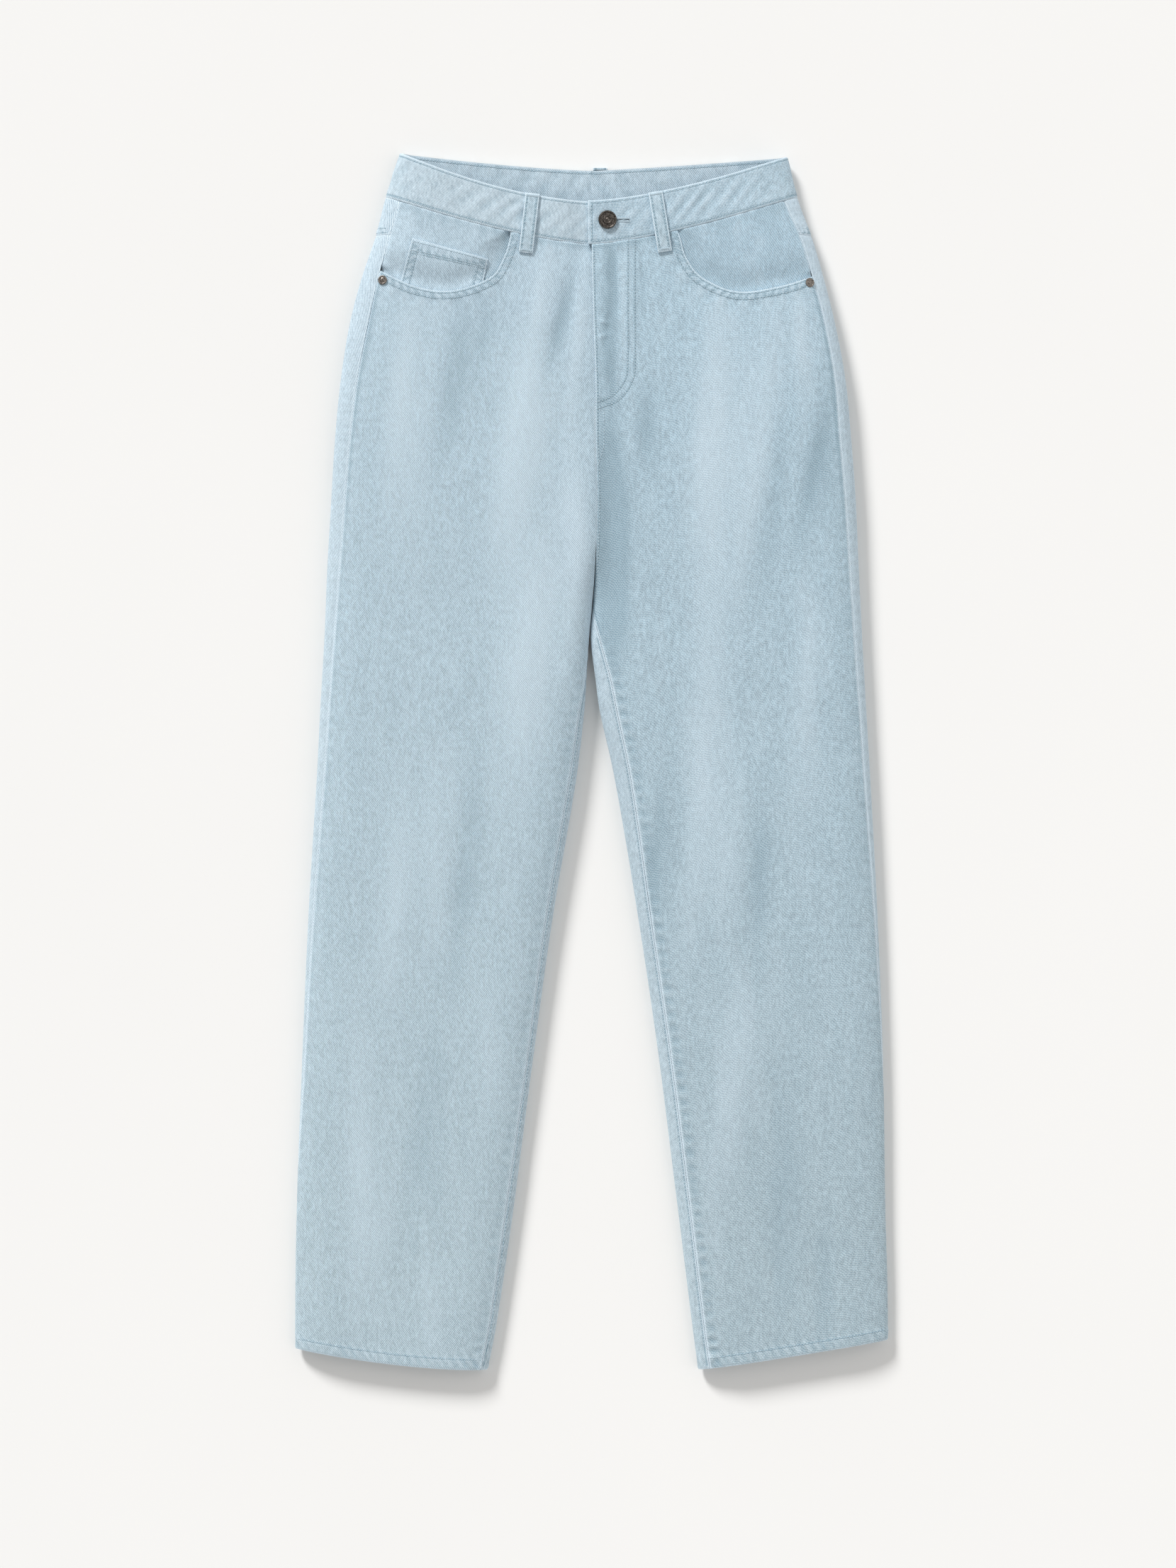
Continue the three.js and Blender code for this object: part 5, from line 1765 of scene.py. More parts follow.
@dataclass
class FrontLoop:
    """A belt loop on the front."""

    half: Half
    top: tuple[float, float]
    bottom: tuple[float, float]
    width: float = 13.0
    length: float = 56.0
    cloth: float = 1.9
    bow: float = 0.9

    def build(self, finishes: Finishes) -> bpy.types.Object:
        """Make the loop."""
        t = np.linspace(0, 1, 60)[:, None]
        f = np.linspace(0.5, -0.5, 17)[None, :]
        axis = np.array(self.bottom) - np.array(self.top)
        axis /= np.linalg.norm(axis)
        across = f * self.width
        x = stretch(self.top[0], self.bottom[0], t) - axis[1] * across
        y = stretch(self.top[1], self.bottom[1], t) + axis[0] * across
        clear = LAID + BAND_PROUD * (1 - smooth(t, 0.8, 0.95))
        edge = np.minimum(across + self.width / 2, self.width / 2 - across)
        end = np.minimum(t, 1 - t) * self.length
        down = t * self.length + 0 * across
        noise = SoftNoise(51 if self.half.side < 0 else 52)
        relief = Relief.over(x)
        relief.border(edge + 0 * end, down, (2.2,), 0.55)
        relief.border(end + 0 * edge, across + 0 * t, (2.6,), 0.6)
        relief.rise += 0.16 * noise(across / 6, t * 9)
        relief.pucker(edge + 0 * end, ripple(down, 6.5, noise), 2.2, 2.2, 0.14, 0.5)
        # Random tone, and painted shade along the furrow of each edge row
        relief.worn += 0.35 * noise(across / 4, t * 11) - 0.6 * bell(edge - 1.9, 0.8)
        thick = clear + self.cloth + self.bow * np.sin(np.pi * t)
        place = self.half.place_at(x, y)
        outer = self.half.surface(y, place, thick + relief.rise)
        inner = self.half.surface(y, place, clear + 0 * across)
        flat = np.stack([across + 0 * t, (1 - t) * self.length + 0 * across], -1) * MM
        made = shell(f"belt_loop_cloth_front_{self.half.name}", outer, inner, relief, True, None, flat)
        finish(made, [f"belt_loop_front_{self.half.name}"], "denim_band", finishes.trim)
        return made


@dataclass
class BackLoop:
    """A belt loop on the back, under the laid waistband, hooked over its top edge."""

    half: Half
    x: float
    node: str
    width: float = 13.0
    cloth: float = 1.6
    hook: float = 5.0
    hooked: bool = False

    def build(self, finishes: Finishes) -> bpy.types.Object:
        """Make the loop."""
        reach = self.width / 2 if self.hooked else -self.width / 2
        top = float(self.half.back_top(np.array(abs(self.x) + reach))) + (LAID if self.hooked else -1.5)
        low = float(BACK_SEAM(np.array(self.x))) - 9
        run = np.linspace(0, 1, 40)
        turn = 1.7 if self.hooked else 0.0
        outer_path = [(low + (top + turn - low) * t, 0.0) for t in run]
        inner_path = [(low + (top - low) * t, self.cloth) for t in run]
        if self.hooked:
            outer_path += [(top + turn, z) for z in np.linspace(0.5, self.hook, 8)]
            inner_path += [(top, z) for z in np.linspace(self.cloth + 0.1, self.hook, 8)]
        f = np.linspace(-0.5, 0.5, 13)
        grids = []
        for path in (outer_path, inner_path):
            yz = np.array(path)
            grid = np.zeros((len(yz), len(f), 3))
            grid[..., 0] = self.x + f[None, :] * self.width
            grid[..., 1], grid[..., 2] = yz[:, :1], yz[:, 1:]
            grids.append(grid)
        edge = np.minimum(f + 0.5, 0.5 - f)[None, :] * self.width
        relief = Relief.over(grids[0][..., 0])
        relief.border(edge + 0 * relief.rise, grids[0][..., 1], (2.2,))
        made = shell(self.node.replace("belt_loop", "belt_loop_cloth"), grids[0], grids[1], relief, False)
        finish(made, [self.node], "denim_band", finishes.trim)
        return made


@dataclass
class BackPocket:
    """A back patch pocket, on which the laid seat lies."""

    half: Half
    x: float = 118.0
    y: float = 345.0
    tilt: float = 2.5
    cloth: float = 1.6
    outline: tuple[tuple[float, float], ...] = (
        (-74, 78), (-66, -50), (-64, -56), (-54, -63), (-5, -79), (0, -79.7), (5, -79), (54, -63),
        (64, -56), (66, -50), (74, 78),
    )
    spread: float = 72.0

    def outline_at(self, inset: float) -> np.ndarray:
        """The outline's points on the garment, moved in by inset.

        Args:
            inset: How far in.

        Returns:
            Points, x and y.
        """
        p = np.array(self.outline, float) * (1 - inset / self.spread)
        a = math.radians(self.half.side * self.tilt)
        turned = p @ np.array([[math.cos(a), math.sin(a)], [-math.sin(a), math.cos(a)]])
        return turned + (self.half.side * self.x, self.y)

    def marks(self, xy: np.ndarray) -> dict[str, np.ndarray]:
        """Edge and sewing marks for points of the pocket."""
        ring = self.outline_at(0)
        closed = Line(np.concatenate([ring, ring[:1]]), 360)
        away, run, _, _ = closed.nearest(xy[:, 0], xy[:, 1], 1)
        relief = Relief.over(xy[:, 0])
        relief.border(np.abs(away), run, BACK_POCKET_ROWS)
        return relief.marks()

    def build(self, finishes: Finishes) -> bpy.types.Object:
        """Make the pocket as a fan of rings from its outline to its middle."""
        rings = [(0.0, 0.5), (0.5, 0.1), (1.4, 0.0), (2.2, 0.25), (3.0, 0.0), (8.0, 0.05), (9.0, 0.3)]
        rings += [(inset, 0.0) for inset in (10, 20, 35, 50, 62, 70)]
        points, faces = [], []
        count = len(self.outline)
        for inset, z in rings:
            points += [(px, py, z) for px, py in self.outline_at(inset)]
        under = len(points)
        points += [(px, py, self.cloth) for px, py in self.outline_at(0)]
        for r in range(len(rings) - 1):
            for k in range(count):
                n = (k + 1) % count
                faces.append([r * count + k, r * count + n, (r + 1) * count + n, (r + 1) * count + k])
        faces.append(list(range((len(rings) - 1) * count, len(rings) * count)))
        faces.append(list(range(under + count - 1, under - 1, -1)))
        for k in range(count):
            n = (k + 1) % count
            faces.append([k, under + k, under + n, n])
        made = new_object(f"back_pocket_cloth_{self.half.name}", np.array(points), faces)
        made.data.validate()
        co = np.array([v.co for v in made.data.vertices]).reshape(-1, 3)
        add_cloth_data(made, co[:, :2], self.marks(co[:, :2] / MM))
        outward(made)
        finish(made, [f"back_pocket_{self.half.name}"], "denim_back", finishes.trim)
        return made


def outward(made: bpy.types.Object) -> None:
    """Turn a closed mesh's faces out."""
    work = bmesh.new()
    work.from_mesh(made.data)
    bmesh.ops.recalc_face_normals(work, faces=work.faces)
    work.to_mesh(made.data)
    work.free()


def lathe(name: str, profile: Sequence[tuple[float, float]], segments: int) -> bpy.types.Object:
    """A turned piece about Z, from a profile of radius and height.

    Args:
        name: Object's name.
        profile: Points from the axis below to the axis above.
        segments: Steps round.

    Returns:
        The object, in millimetres turned to metres, about the origin.
    """
    angles = np.arange(segments) * 2 * math.pi / segments
    points = [(0.0, 0.0, profile[0][1])]
    for r, z in profile[1:-1]:
        points += [(r * math.cos(a), r * math.sin(a), z) for a in angles]
    points.append((0.0, 0.0, profile[-1][1]))
    rings = len(profile) - 2
    faces = []
    for k in range(segments):
        n = (k + 1) % segments
        faces.append([0, 1 + n, 1 + k])
        for r in range(rings - 1):
            a = 1 + r * segments
            faces.append([a + k, a + n, a + segments + n, a + segments + k])
        top = 1 + (rings - 1) * segments
        faces.append([top + k, top + n, len(points) - 1])
    made = new_object(name, np.array(points), faces, sharp=35)
    outward(made)
    return made


def seat_on(made: bpy.types.Object, half: Half, x: float, y: float, rise: float) -> None:
    """Move a turned piece's mesh to a point of the cloth, square on it.

    Args:
        made: The piece, about the origin.
        half: The half it sits on.
        x: Where, across.
        y: Where, along.
        rise: Distance out of the cloth's outer face.
    """
    at, level = np.array([[x]]), np.array([[y]])
    place = half.place_at(at, level)
    low, high = half.surface(level, place, rise)[0, 0], half.surface(level, place, rise + 1)[0, 0]
    turn = Vector((0, 0, 1)).rotation_difference(Vector(high - low)).to_matrix().to_4x4()
    made.data.transform(turn)
    for vertex in made.data.vertices:
        vertex.co += Vector(low * MM)
    made.data.update()


@dataclass
class Trims:
    """Button and rivets."""

    button_at: tuple[float, float] = BUTTON_AT
    rivets_at: tuple[tuple[float, float], ...] = ((-191.6, 440.6), (199.4, 438.4))

    def button(self, finishes: Finishes) -> bpy.types.Object:
        """The tack button: rolled rim, sunk ring, raised middle and shank."""
        reach = BAND_WALL + LAID
        profile = (
            (0, -reach), (2.5, -reach), (2.6, 0.0), (7.2, 0.0), (8.0, 0.35), (8.45, 1.0), (8.5, 1.7),
            (8.3, 2.5), (7.8, 3.0), (7.3, 3.05), (6.9, 2.8), (6.7, 2.4), (6.5, 2.25), (4.9, 2.2),
            (4.3, 2.25), (4.1, 2.6), (3.8, 3.1), (3.4, 3.2), (3.0, 3.1), (2.7, 2.7), (2.4, 2.5),
            (1.9, 2.5), (1.6, 2.8),
            (1.1, 3.1), (0.6, 3.2), (0, 3.22),
        )
        made = lathe("button_cap", profile, 64)
        seat_on(made, LEFT, *self.button_at, BAND_PROUD + LAID)
        finish(made, ["button"], "gunmetal", finishes.gunmetal)
        return made

    def rivet(self, half: Half, at: tuple[float, float], finishes: Finishes) -> bpy.types.Object:
        """A pocket rivet: flat ring round a domed middle.

        Args:
            half: The half it is on.
            at: Where, x and y.
            finishes: The materials.

        Returns:
            The rivet.
        """
        profile = (
            (0, 0.0), (3.8, 0.0), (4.15, 0.2), (4.25, 0.5), (4.1, 0.85), (3.7, 1.0), (3.0, 1.02),
            (2.7, 0.9), (2.55, 0.7), (2.3, 0.7), (2.0, 0.95), (1.2, 1.15), (0, 1.2),
        )
        made = lathe(f"rivet_cap_{half.name}", profile, 40)
        seat_on(made, half, *at, LAID)
        finish(made, [f"rivet_{half.name}"], "nickel", finishes.nickel)
        return made

    def build(self, finishes: Finishes) -> None:
        """Make every trim."""
        self.button(finishes)
        for half, at in zip(HALVES, self.rivets_at):
            self.rivet(half, at, finishes)


@dataclass
class Zip:
    """The closed fly zip behind the fly: tape, teeth and slider."""

    left: float = -10.0
    right: float = 24.0
    top: float = 466.0
    bottom: float = 335.0
    tape: float = 1.2
    chain_x: float = 7.0

    def build(self, finishes: Finishes, stitcher: "Stitcher") -> None:
        """Make the tape and the teeth, and dress the slider's CAD node.

        Args:
            finishes: The materials.
            stitcher: What sets the teeth along the tape.
        """
        y = np.linspace(self.top, self.bottom, 60)[:, None]
        x = np.linspace(self.left, self.right, 16)[None, :] + 0 * y
        level = y + 0 * x
        place = LEFT.place_at(x, level)
        depth = CLOTH + 0.15 + LAID
        outer = LEFT.surface(level, place, -depth)
        inner = LEFT.surface(level, place, -depth - self.tape)
        made = shell("zip_tape_cloth", outer, inner, Relief.over(x), False)
        finish(made, ["zip_tape"], "denim_facing", finishes.trim)
        rows = np.arange(self.bottom + 4, self.top - 18, 1.3)[:, None]
        across = np.full(rows.shape, self.chain_x)
        points = LEFT.surface(rows, LEFT.place_at(across, rows), -depth - self.tape - 0.4)[:, 0]
        aims = np.tile([1.0, 0.0, 0.0], (len(points), 1))
        stitcher.rows("zip_teeth", [(points, aims)], 4.6, 1.0, finishes.brass, "brass")
        self.slider(finishes)

    def slider(self, finishes: Finishes) -> None:
        """The slider at the top of the teeth, a small rounded block in the CAD part's box."""
        low, high = (np.array(corner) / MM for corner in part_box("zip_slider"))
        f = np.linspace(0, 1, 13)[None, :]
        v = np.linspace(0, 1, 17)[:, None]
        x, y = stretch(low[0], high[0], f) + 0 * v, stretch(low[1], high[1], v) + 0 * f
        round_off = np.clip(1 - (2 * f - 1) ** 6 - (2 * v - 1) ** 6, 0.05, 1)
        middle, half_deep = (low[2] + high[2]) / 2, (high[2] - low[2]) / 2
        grids = [np.stack([x, y, middle + sign * half_deep * round_off], -1) for sign in (1, -1)]
        made = shell("zip_slider_body", grids[0], grids[1], Relief.over(x), True)
        finish(made, ["zip_slider"], "brass", finishes.brass)


class Stitcher:
    """Sets rows of stitches on the cloth with one Geometry Nodes tree."""

    def __init__(self) -> None:
        """Build the tree: at each point a small spindle along the point's aim."""
        tree = bpy.data.node_groups.new("Stitch rows", "GeometryNodeTree")
        tree.interface.new_socket(name="Geometry", in_out="OUTPUT", socket_type="NodeSocketGeometry")
        tree.interface.new_socket(name="Geometry", in_out="INPUT", socket_type="NodeSocketGeometry")
        for name in ("Length", "Thickness"):
            tree.interface.new_socket(name=name, in_out="INPUT", socket_type="NodeSocketFloat")
        tree.interface.new_socket(name="Finish", in_out="INPUT", socket_type="NodeSocketMaterial")
        graph = Graph(tree)
        given, out = tree.nodes.new("NodeGroupInput"), tree.nodes.new("NodeGroupOutput")
        spindle = graph.node("GeometryNodeMeshUVSphere", Segments=6, Rings=4, Radius=0.5).outputs[0]
        aim = graph.node("GeometryNodeInputNamedAttribute", {"data_type": "FLOAT_VECTOR"}, Name="aim")
        turn = graph.node("FunctionNodeAlignRotationToVector", {"axis": "Z"}, Vector=aim.outputs[0])
        size = graph.node(
            "ShaderNodeCombineXYZ",
            X=given.outputs["Thickness"],
            Y=given.outputs["Thickness"],
            Z=given.outputs["Length"],
        )
        placed = graph.node(
            "GeometryNodeInstanceOnPoints",
            Points=given.outputs["Geometry"],
            Instance=spindle,
            Rotation=turn.outputs[0],
            Scale=size.outputs[0],
        )
        real = graph.node("GeometryNodeRealizeInstances", Geometry=placed.outputs[0])
        soft = graph.node("GeometryNodeSetShadeSmooth", Geometry=real.outputs[0])
        dressed = graph.node(
            "GeometryNodeSetMaterial", Geometry=soft.outputs[0], Material=given.outputs["Finish"]
        )
        tree.links.new(dressed.outputs[0], out.inputs[0])
        self.tree = tree

    def rows(
        self,
        name: str,
        paths: Sequence[tuple[np.ndarray, np.ndarray]],
        length: float,
        thickness: float,
        material: bpy.types.Material,
        slot: str,
    ) -> bpy.types.Object:
        """Make a piece of stitches.

        Args:
            name: Object's name.
            paths: Points in millimetres and the way that each stitch points.
            length: A stitch's length.
            thickness: A stitch's thickness.
            material: Its finish.
            slot: Not used.

        Returns:
            The stitches as one mesh.
        """
        points = np.concatenate([p for p, _ in paths])
        aims = np.concatenate([a for _, a in paths])
        mesh = bpy.data.meshes.new(name + "_points")
        mesh.from_pydata((points * MM).tolist(), [], [])
        mesh.attributes.new("aim", "FLOAT_VECTOR", "POINT").data.foreach_set(
            "vector", aims.astype(np.float32).ravel()
        )
        base = bpy.data.objects.new(name, mesh)
        bpy.context.collection.objects.link(base)
        modifier = base.modifiers.new("Stitches", "NODES")
        modifier.node_group = self.tree
        sockets = {s.name: s.identifier for s in self.tree.interface.items_tree if s.in_out == "INPUT"}
        modifier[sockets["Length"]] = length * MM
        modifier[sockets["Thickness"]] = thickness * MM
        modifier[sockets["Finish"]] = material
        depsgraph = bpy.context.evaluated_depsgraph_get()
        made = bpy.data.meshes.new_from_object(base.evaluated_get(depsgraph))
        base.modifiers.clear()
        base.data = made
        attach(base, BODY)
        LOG.info("%s: %d stitches", name, len(points))
        return base


class Side(Enum):
    """From where a row of stitches is set."""

    ABOVE = 1
    BELOW = -1


@dataclass
class Sewing:
    """All the topstitching that shows, laid on the finished cloth."""

    pitch: float = 3.1
    length: float = 2.5
    thickness: float = 0.6
    trees: dict[str, BVHTree] = field(default_factory=dict)

    def know(self, *pieces: bpy.types.Object) -> None:
        """Remember the faces of pieces that stitches will lie on."""
        for piece in pieces:
            mesh = piece.data
            faces = [tuple(p.vertices) for p in mesh.polygons]
            self.trees[piece.name] = BVHTree.FromPolygons([v.co for v in mesh.vertices], faces)

    def drop(self, piece: str, xy: np.ndarray, side: Side = Side.ABOVE, rise: float = 0.12) -> np.ndarray:
        """Drop points on a piece.

        Args:
            piece: The piece's name.
            xy: Points, x and y.
            side: From above or below.
            rise: How far a stitch's middle stands out of the cloth.

        Returns:
            The points that hit it, with z.
        """
        tree, found = self.trees[piece], []
        way = Vector((0, 0, -side.value))
        for px, py in xy:
            hit, normal, _, _ = tree.ray_cast(Vector((px * MM, py * MM, 0.1 * side.value)), way)
            if hit is not None:
                found.append(np.array(hit) / MM + np.array(normal) * rise)
        return np.array(found).reshape(-1, 3)

    def run(
        self, piece: str, line: np.ndarray, side: Side = Side.ABOVE, pitch: float | None = None
    ) -> tuple[np.ndarray, np.ndarray]:
        """A running row of stitches along a line.

        Args:
            piece: What it lies on.
            line: The line's points, x and y.
            side: From above or below.
            pitch: From one stitch to the next.

        Returns:
            Stitch points and aims.
        """
        xy = even(line, pitch or self.pitch)
        points = self.drop(piece, xy, side)
        if len(points) < 2:
            return np.zeros((0, 3)), np.zeros((0, 3))
        return points, np.gradient(points, axis=0)

    def satin(
        self, piece: str, line: np.ndarray, across: np.ndarray, rise: float = 0.2, pitch: float = 0.5
    ) -> tuple[np.ndarray, np.ndarray]:
        """A close row of stitches that lie across a line."""
        points = self.drop(piece, even(line, pitch), Side.ABOVE, rise)
        return points, np.tile(np.append(across, 0.0), (len(points), 1))


def even(line: np.ndarray, pitch: float) -> np.ndarray:
    """Points an even pitch apart along a line."""
    line = np.asarray(line, float)
    arc = np.concatenate([[0], np.cumsum(np.linalg.norm(np.diff(line, axis=0), axis=1))])
    count = max(2, int(arc[-1] / pitch))
    at = (np.arange(count) + 0.5) * arc[-1] / count
    return np.stack([np.interp(at, arc, line[:, k]) for k in (0, 1)], -1)


def curve_line(start: float, stop: float, level: Callable, count: int = 60) -> np.ndarray:
    """A line across the garment at a level that depends on x."""
    x = np.linspace(start, stop, count)
    return np.stack([x, level(x)], -1)


@dataclass
class Topstitching:
    """Where each row of stitches runs."""

    sewing: Sewing

    def band_rows(self) -> list:
        """Rows along both edges of the waistband, front and inside back."""
        s, rows = self.sewing, []
        for half in HALVES:
            side = half.side
            start = -5.0 if side < 0 else 0.0
            for low, high in ((half.front_seam, BAND_ROW), (half.front_top, -BAND_ROW)):
                stop = side * (178 if high > 0 else 168)
                line = curve_line(start, stop, lambda x, f=low, d=high: f(x) + d)
                rows.append(s.run("waistband_cloth", line))
            back = curve_line(side * 2, side * 166, lambda x, h=half: h.back_top(x) - 2.8)
            rows.append(s.run("waistband_cloth", back))
        rows.append(s.run("waistband_cloth", np.array([[-0.4, 477.0], [-0.4, 511.0]])))
        return rows

    def pocket_rows(self, half: Half) -> list:
        """Two rows round a front pocket's opening."""
        line = OPENINGS[half.name]
        rows = []
        for inset in POCKET_ROWS:
            points = line.moved(-inset, half.side)
            seam = half.front_seam(points[:, 0]) - 1.5
            points = points[(points[:, 1] < seam) & (np.abs(points[:, 0]) < 193)]
            rows.append(self.sewing.run(f"front_panel_{half.name}", points))
        return rows

    def hem_rows(self, half: Half) -> list:
        """One row round each hem, on top and below."""
        near = half.inner(np.array(-548.0)) + half.side * 8
        far = half.edge(np.array(-530.0)) - half.side * 2
        line = curve_line(float(near), float(far), lambda x: half.hem(x) + HEM_DEEP - HEM_ROW_SHORT)
        rows = [self.sewing.run(f"front_panel_{half.name}", line)]
        rows.append(self.sewing.run(f"back_panel_{half.name}", line, Side.BELOW))
        return rows

    def fly_rows(self) -> list:
        """The fly's two J-shaped rows, the row on down from its foot, and the one by its edge."""
        outer, inner = Line(LeftFrontPanel.fly_outer), Line(LeftFrontPanel.fly_inner)
        centre = Line(((11, 320), (11, 292), (9, 282), (5.4, 270)))
        seam = np.array([[float(LEFT.inner(np.array(y))) + 2.2, y] for y in range(150, 471, 6)])
        top = "front_panel_left"
        rows = [self.sewing.run(top, line.points) for line in (outer, inner, centre)]
        rows.append(self.sewing.run(top, seam))
        return rows

    def leg_rows(self, half: Half) -> list:
        """One row beside the inseam, on the back panel's strip."""
        levels = np.arange(-536, 96, 6.0)
        inset = half.inseam(levels)
        keep = inset > 3.4
        x = half.inner(levels) + half.side * (inset - INSEAM_ROW)
        line = np.stack([x, levels], -1)[keep]
        return [self.sewing.run(f"back_panel_{half.name}", line)]

    def yoke_rows(self, half: Half) -> list:
        """Two rows above the yoke seam, below and at the visible end."""
        rows = []
        for up in YOKE_ROWS:
            line = curve_line(half.side * 3, half.side * 185, lambda x, d=up: yoke_line(x) + d)
            rows.append(self.sewing.run(f"yoke_cloth_{half.name}", line, Side.BELOW))
            end = curve_line(half.side * 188, half.side * 199, lambda x, d=up: yoke_line(x) + d, 8)
            rows.append(self.sewing.run(f"yoke_cloth_{half.name}", end))
        return rows

    def coin_rows(self, coin: CoinPocket) -> list:
        """Rows along the coin pocket's top and sides."""
        rows = []
        t = np.linspace(0, 1, 20)

        def points(f: np.ndarray, v: np.ndarray) -> np.ndarray:
            """Points at shares across and shares down."""
            return np.stack(coin.at(f, v), -1)

        for v in (0.045, 0.19, 0.235):
            rows.append(self.sewing.run("coin_pocket_cloth", points(0.03 + 0.94 * t, v + 0 * t), pitch=2.6))
        for f in (0.03, 0.11, 0.89, 0.97):
            rows.append(self.sewing.run("coin_pocket_cloth", points(f + 0 * t, 0.04 + 0.9 * t), pitch=2.6))
        return rows

    def back_pocket_rows(self, pocket: BackPocket) -> list:
        """Two rows round a back pocket, seen from below."""
        rows = []
        for inset in BACK_POCKET_ROWS:
            line = pocket.outline_at(inset)
            rows.append(self.sewing.run(f"back_pocket_cloth_{pocket.half.name}", line, Side.BELOW))
        return rows

    def loop_rows(self, loop: FrontLoop) -> tuple[list, list]:
        """Rows down both edges of a front loop, and the close bars at its ends."""
        axis = np.array(loop.bottom) - np.array(loop.top)
        axis /= np.linalg.norm(axis)
        side = np.array([-axis[1], axis[0]])
        name = f"belt_loop_cloth_front_{loop.half.name}"
        rows, bars = [], []
        for offset in (-4.3, 4.3):
            line = np.array([loop.top, loop.bottom]) + side * offset
            rows.append(self.sewing.run(name, line))
        for end, step in ((loop.top, 2.6), (loop.bottom, -2.6)):
            middle = np.array(end) + axis * step
            line = np.array([middle - side * 5.4, middle + side * 5.4])
            bars.append(self.sewing.satin(name, line, axis))
        return rows, bars


@dataclass
class Studio:
    """Floor, lights and the camera that looks straight down."""

    centre: tuple[float, float] = (-3.6, -20.8)
    frame_height: float = 1437.8
    distance: float = 4200.0
    cloth_level: float = 18.0
    key_from: tuple[float, float] = (-0.5, 0.87)
    key_elevation: float = 25.0
    key_softness: float = 14.0
    key_strength: float = 3.2
    side_from: tuple[float, float] = (0.9, -0.1)
    side_elevation: float = 32.0
    side_softness: float = 90.0
    side_strength: float = 0.8
    fill: float = 0.435

    def floor(self) -> None:
        """A plain pale floor."""
        mesh = bpy.data.meshes.new("floor")
        size, level = 4.0, -0.0002
        corners = [(x * size, y * size, level) for x, y in ((-1, -1), (1, -1), (1, 1), (-1, 1))]
        mesh.from_pydata(corners, [], [(0, 1, 2, 3)])
        floor = bpy.data.objects.new("floor", mesh)
        bpy.context.collection.objects.link(floor)
        material = bpy.data.materials.new("floor_paper")
        material.use_nodes = True
        graph = Graph(material.node_tree)
        shader = material.node_tree.nodes["Principled BSDF"]
        place = graph.node("ShaderNodeTexCoord").outputs["Object"]
        noise = graph.node("ShaderNodeTexNoise", Vector=place, Scale=3.0).outputs[0]
        tone = graph.mix(noise, srgb(246, 245, 243), srgb(248, 247, 245))
        material.node_tree.links.new(tone, shader.inputs["Base Color"])
        shader.inputs["Roughness"].default_value = 0.95
        shader.inputs["Specular IOR Level"].default_value = 0.1
        mesh.materials.append(material)

    def light(self) -> None:
        """A low soft key from the upper left and two even fills, shown without a film curve."""
        self.lamp("key", self.key_from, self.key_elevation, self.key_softness, self.key_strength)
        self.lamp("side_fill", self.side_from, self.side_elevation, self.side_softness, self.side_strength)
        world = bpy.data.worlds.new("studio")
        world.use_nodes = True
        world.node_tree.nodes["Background"].inputs[0].default_value = (1.0, 0.996, 0.988, 1)
        world.node_tree.nodes["Background"].inputs[1].default_value = self.fill
        bpy.context.scene.world = world
        bpy.context.scene.view_settings.view_transform = "Standard"

    def lamp(
        self, name: str, come_from: tuple[float, float], elevation: float, softness: float, strength: float
    ) -> None:
        """An even light from far away.

        Args:
            name: Its name.
            come_from: Direction that it comes from, across the floor.
            elevation: Its height over the floor in degrees.
            softness: Its width in degrees.
            strength: Its strength.
        """
        light = bpy.data.lights.new(name, "SUN")
        light.energy = strength
        light.angle = math.radians(softness)
        lamp = bpy.data.objects.new(name, light)
        low = math.radians(elevation)
        flat = Vector((*come_from, 0)).normalized() * math.cos(low)
        lamp.rotation_euler = (flat + Vector((0, 0, math.sin(low)))).to_track_quat("Z", "Y").to_euler()
        bpy.context.collection.objects.link(lamp)

    def camera(self) -> None:
        """A long lens straight above the middle of the picture."""
        data = bpy.data.cameras.new("camera")
        data.sensor_fit = "VERTICAL"
        data.sensor_height = 24.0
        data.lens = data.sensor_height * (self.distance - self.cloth_level) / self.frame_height
        data.clip_end = 50
        camera = bpy.data.objects.new("camera", data)
        camera.location = (self.centre[0] * MM, self.centre[1] * MM, self.distance * MM)
        bpy.context.collection.objects.link(camera)
        bpy.context.scene.camera = camera


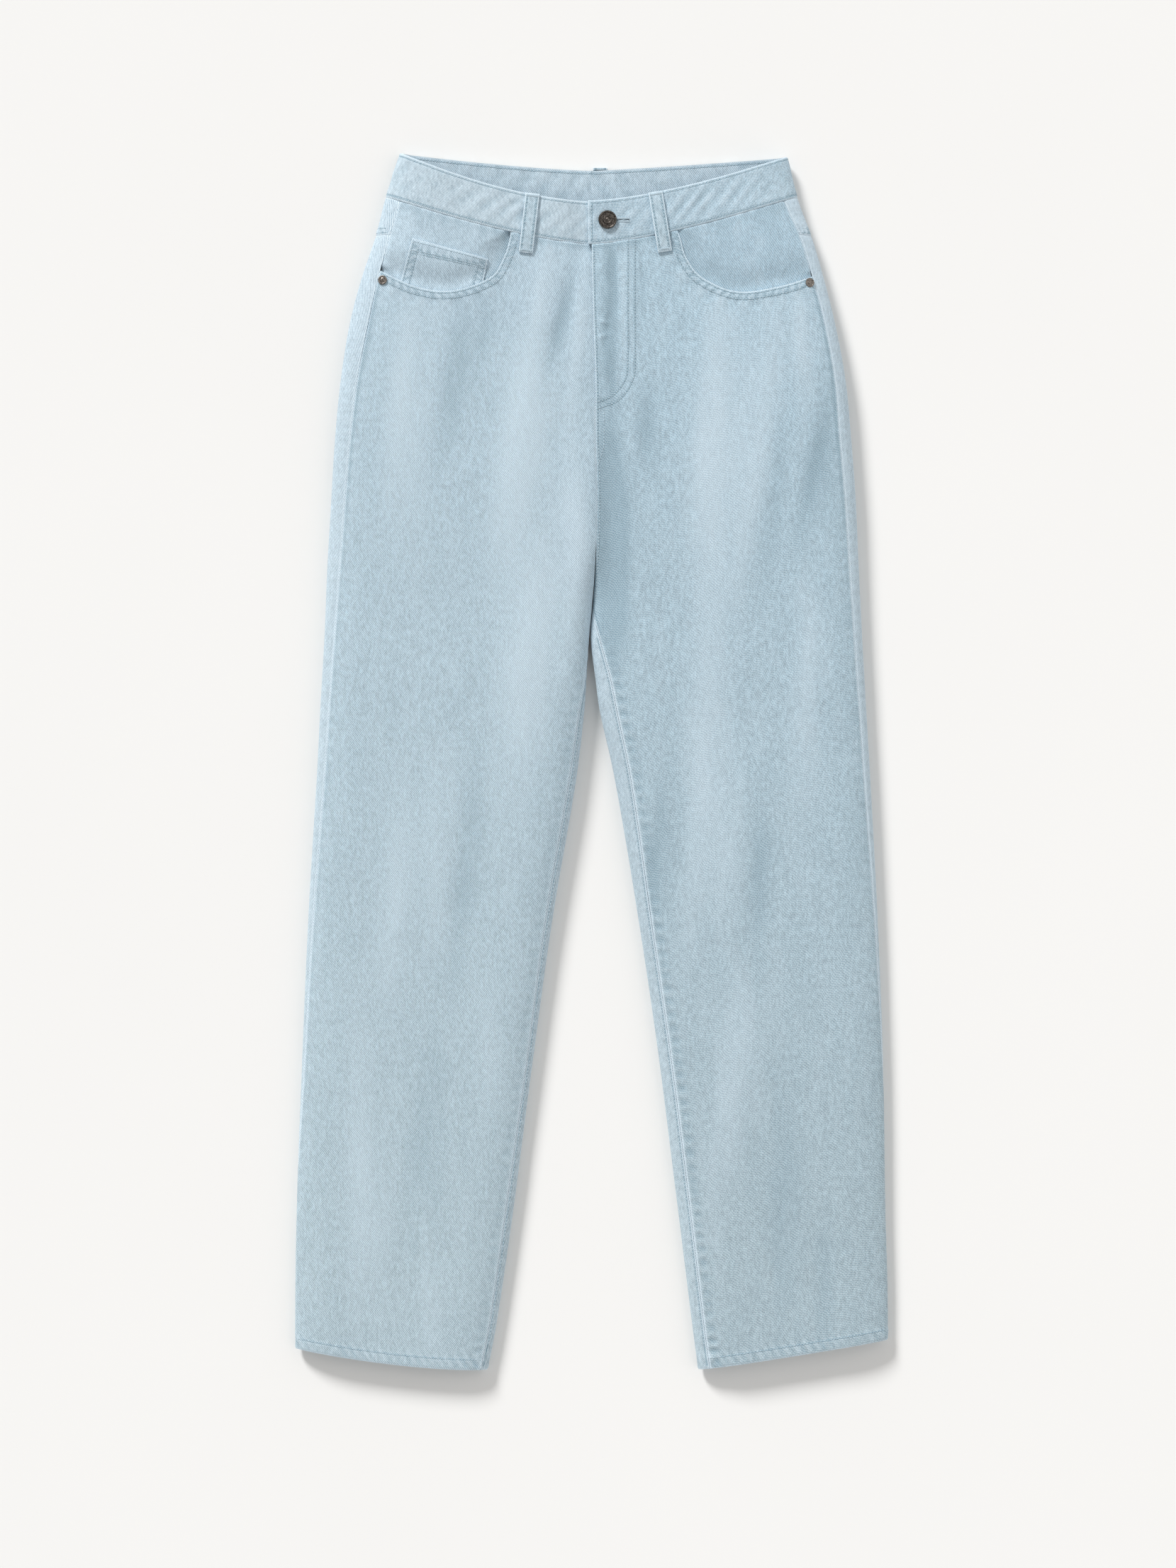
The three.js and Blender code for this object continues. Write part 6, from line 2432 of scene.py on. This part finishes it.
def main() -> None:
    """Build the jeans piece by piece."""
    logging.basicConfig(level=logging.INFO, format="%(name)s %(message)s")
    Studio().camera()
    finishes = Finishes()
    sewing = Sewing()
    stitcher = Stitcher()
    pieces = [RightFrontPanel(RIGHT).build(finishes), LeftFrontPanel(LEFT).build(finishes)]
    facings = [Facing(half) for half in HALVES]
    pockets = [BackPocket(half) for half in HALVES]
    for half, facing, pocket in zip(HALVES, facings, pockets):
        pieces += [BackPanel(half).build(finishes), Yoke(half).build(finishes), facing.build(finishes)]
        pieces.append(pocket.build(finishes))
    coin = CoinPocket(facings[0])
    pieces += [coin.build(finishes), Waistband().build(finishes)]
    loops = [FrontLoop(RIGHT, (-54.3, 520), (-60.6, 465.2)), FrontLoop(LEFT, (58, 521.6), (66.9, 466.3))]
    pieces += [loop.build(finishes) for loop in loops]
    for half, x, node in (
        (RIGHT, -128, "belt_loop_back_right"),
        (LEFT, 128, "belt_loop_back_left"),
        (LEFT, 7.6, "belt_loop_back_centre"),
    ):
        BackLoop(half, x, node, hooked=node.endswith("centre")).build(finishes)
    Trims().build(finishes)
    Zip().build(finishes, stitcher)

    sewing.know(*pieces)
    rows = Topstitching(sewing)
    sets = {
        "thread_waistband": rows.band_rows(),
        "thread_fly": rows.fly_rows(),
        "thread_coin": rows.coin_rows(coin),
    }
    for half, pocket in zip(HALVES, pockets):
        sets[f"thread_pocket_{half.name}"] = rows.pocket_rows(half)
        sets[f"thread_leg_{half.name}"] = rows.hem_rows(half) + rows.leg_rows(half)
        sets[f"thread_back_{half.name}"] = rows.yoke_rows(half) + rows.back_pocket_rows(pocket)
    bars = []
    for loop in loops:
        running, ends = rows.loop_rows(loop)
        sets[f"thread_loop_{loop.half.name}"] = running
        bars += ends
    middle = BUTTON_AT[1]
    slit = [np.array([[23.4, middle + d], [34.2, middle + d]]) for d in (-1.45, 1.45)]
    bars += [sewing.satin("waistband_cloth", line, np.array([0.0, 1.0])) for line in slit]
    for name, paths in sets.items():
        stitcher.rows(name, paths, sewing.length, sewing.thickness, finishes.thread, "denim")
    stitcher.rows("thread_bars", bars, 2.4, 0.5, finishes.thread, "denim")

    studio = Studio()
    studio.floor()
    studio.light()


if __name__ == "__main__":
    main()
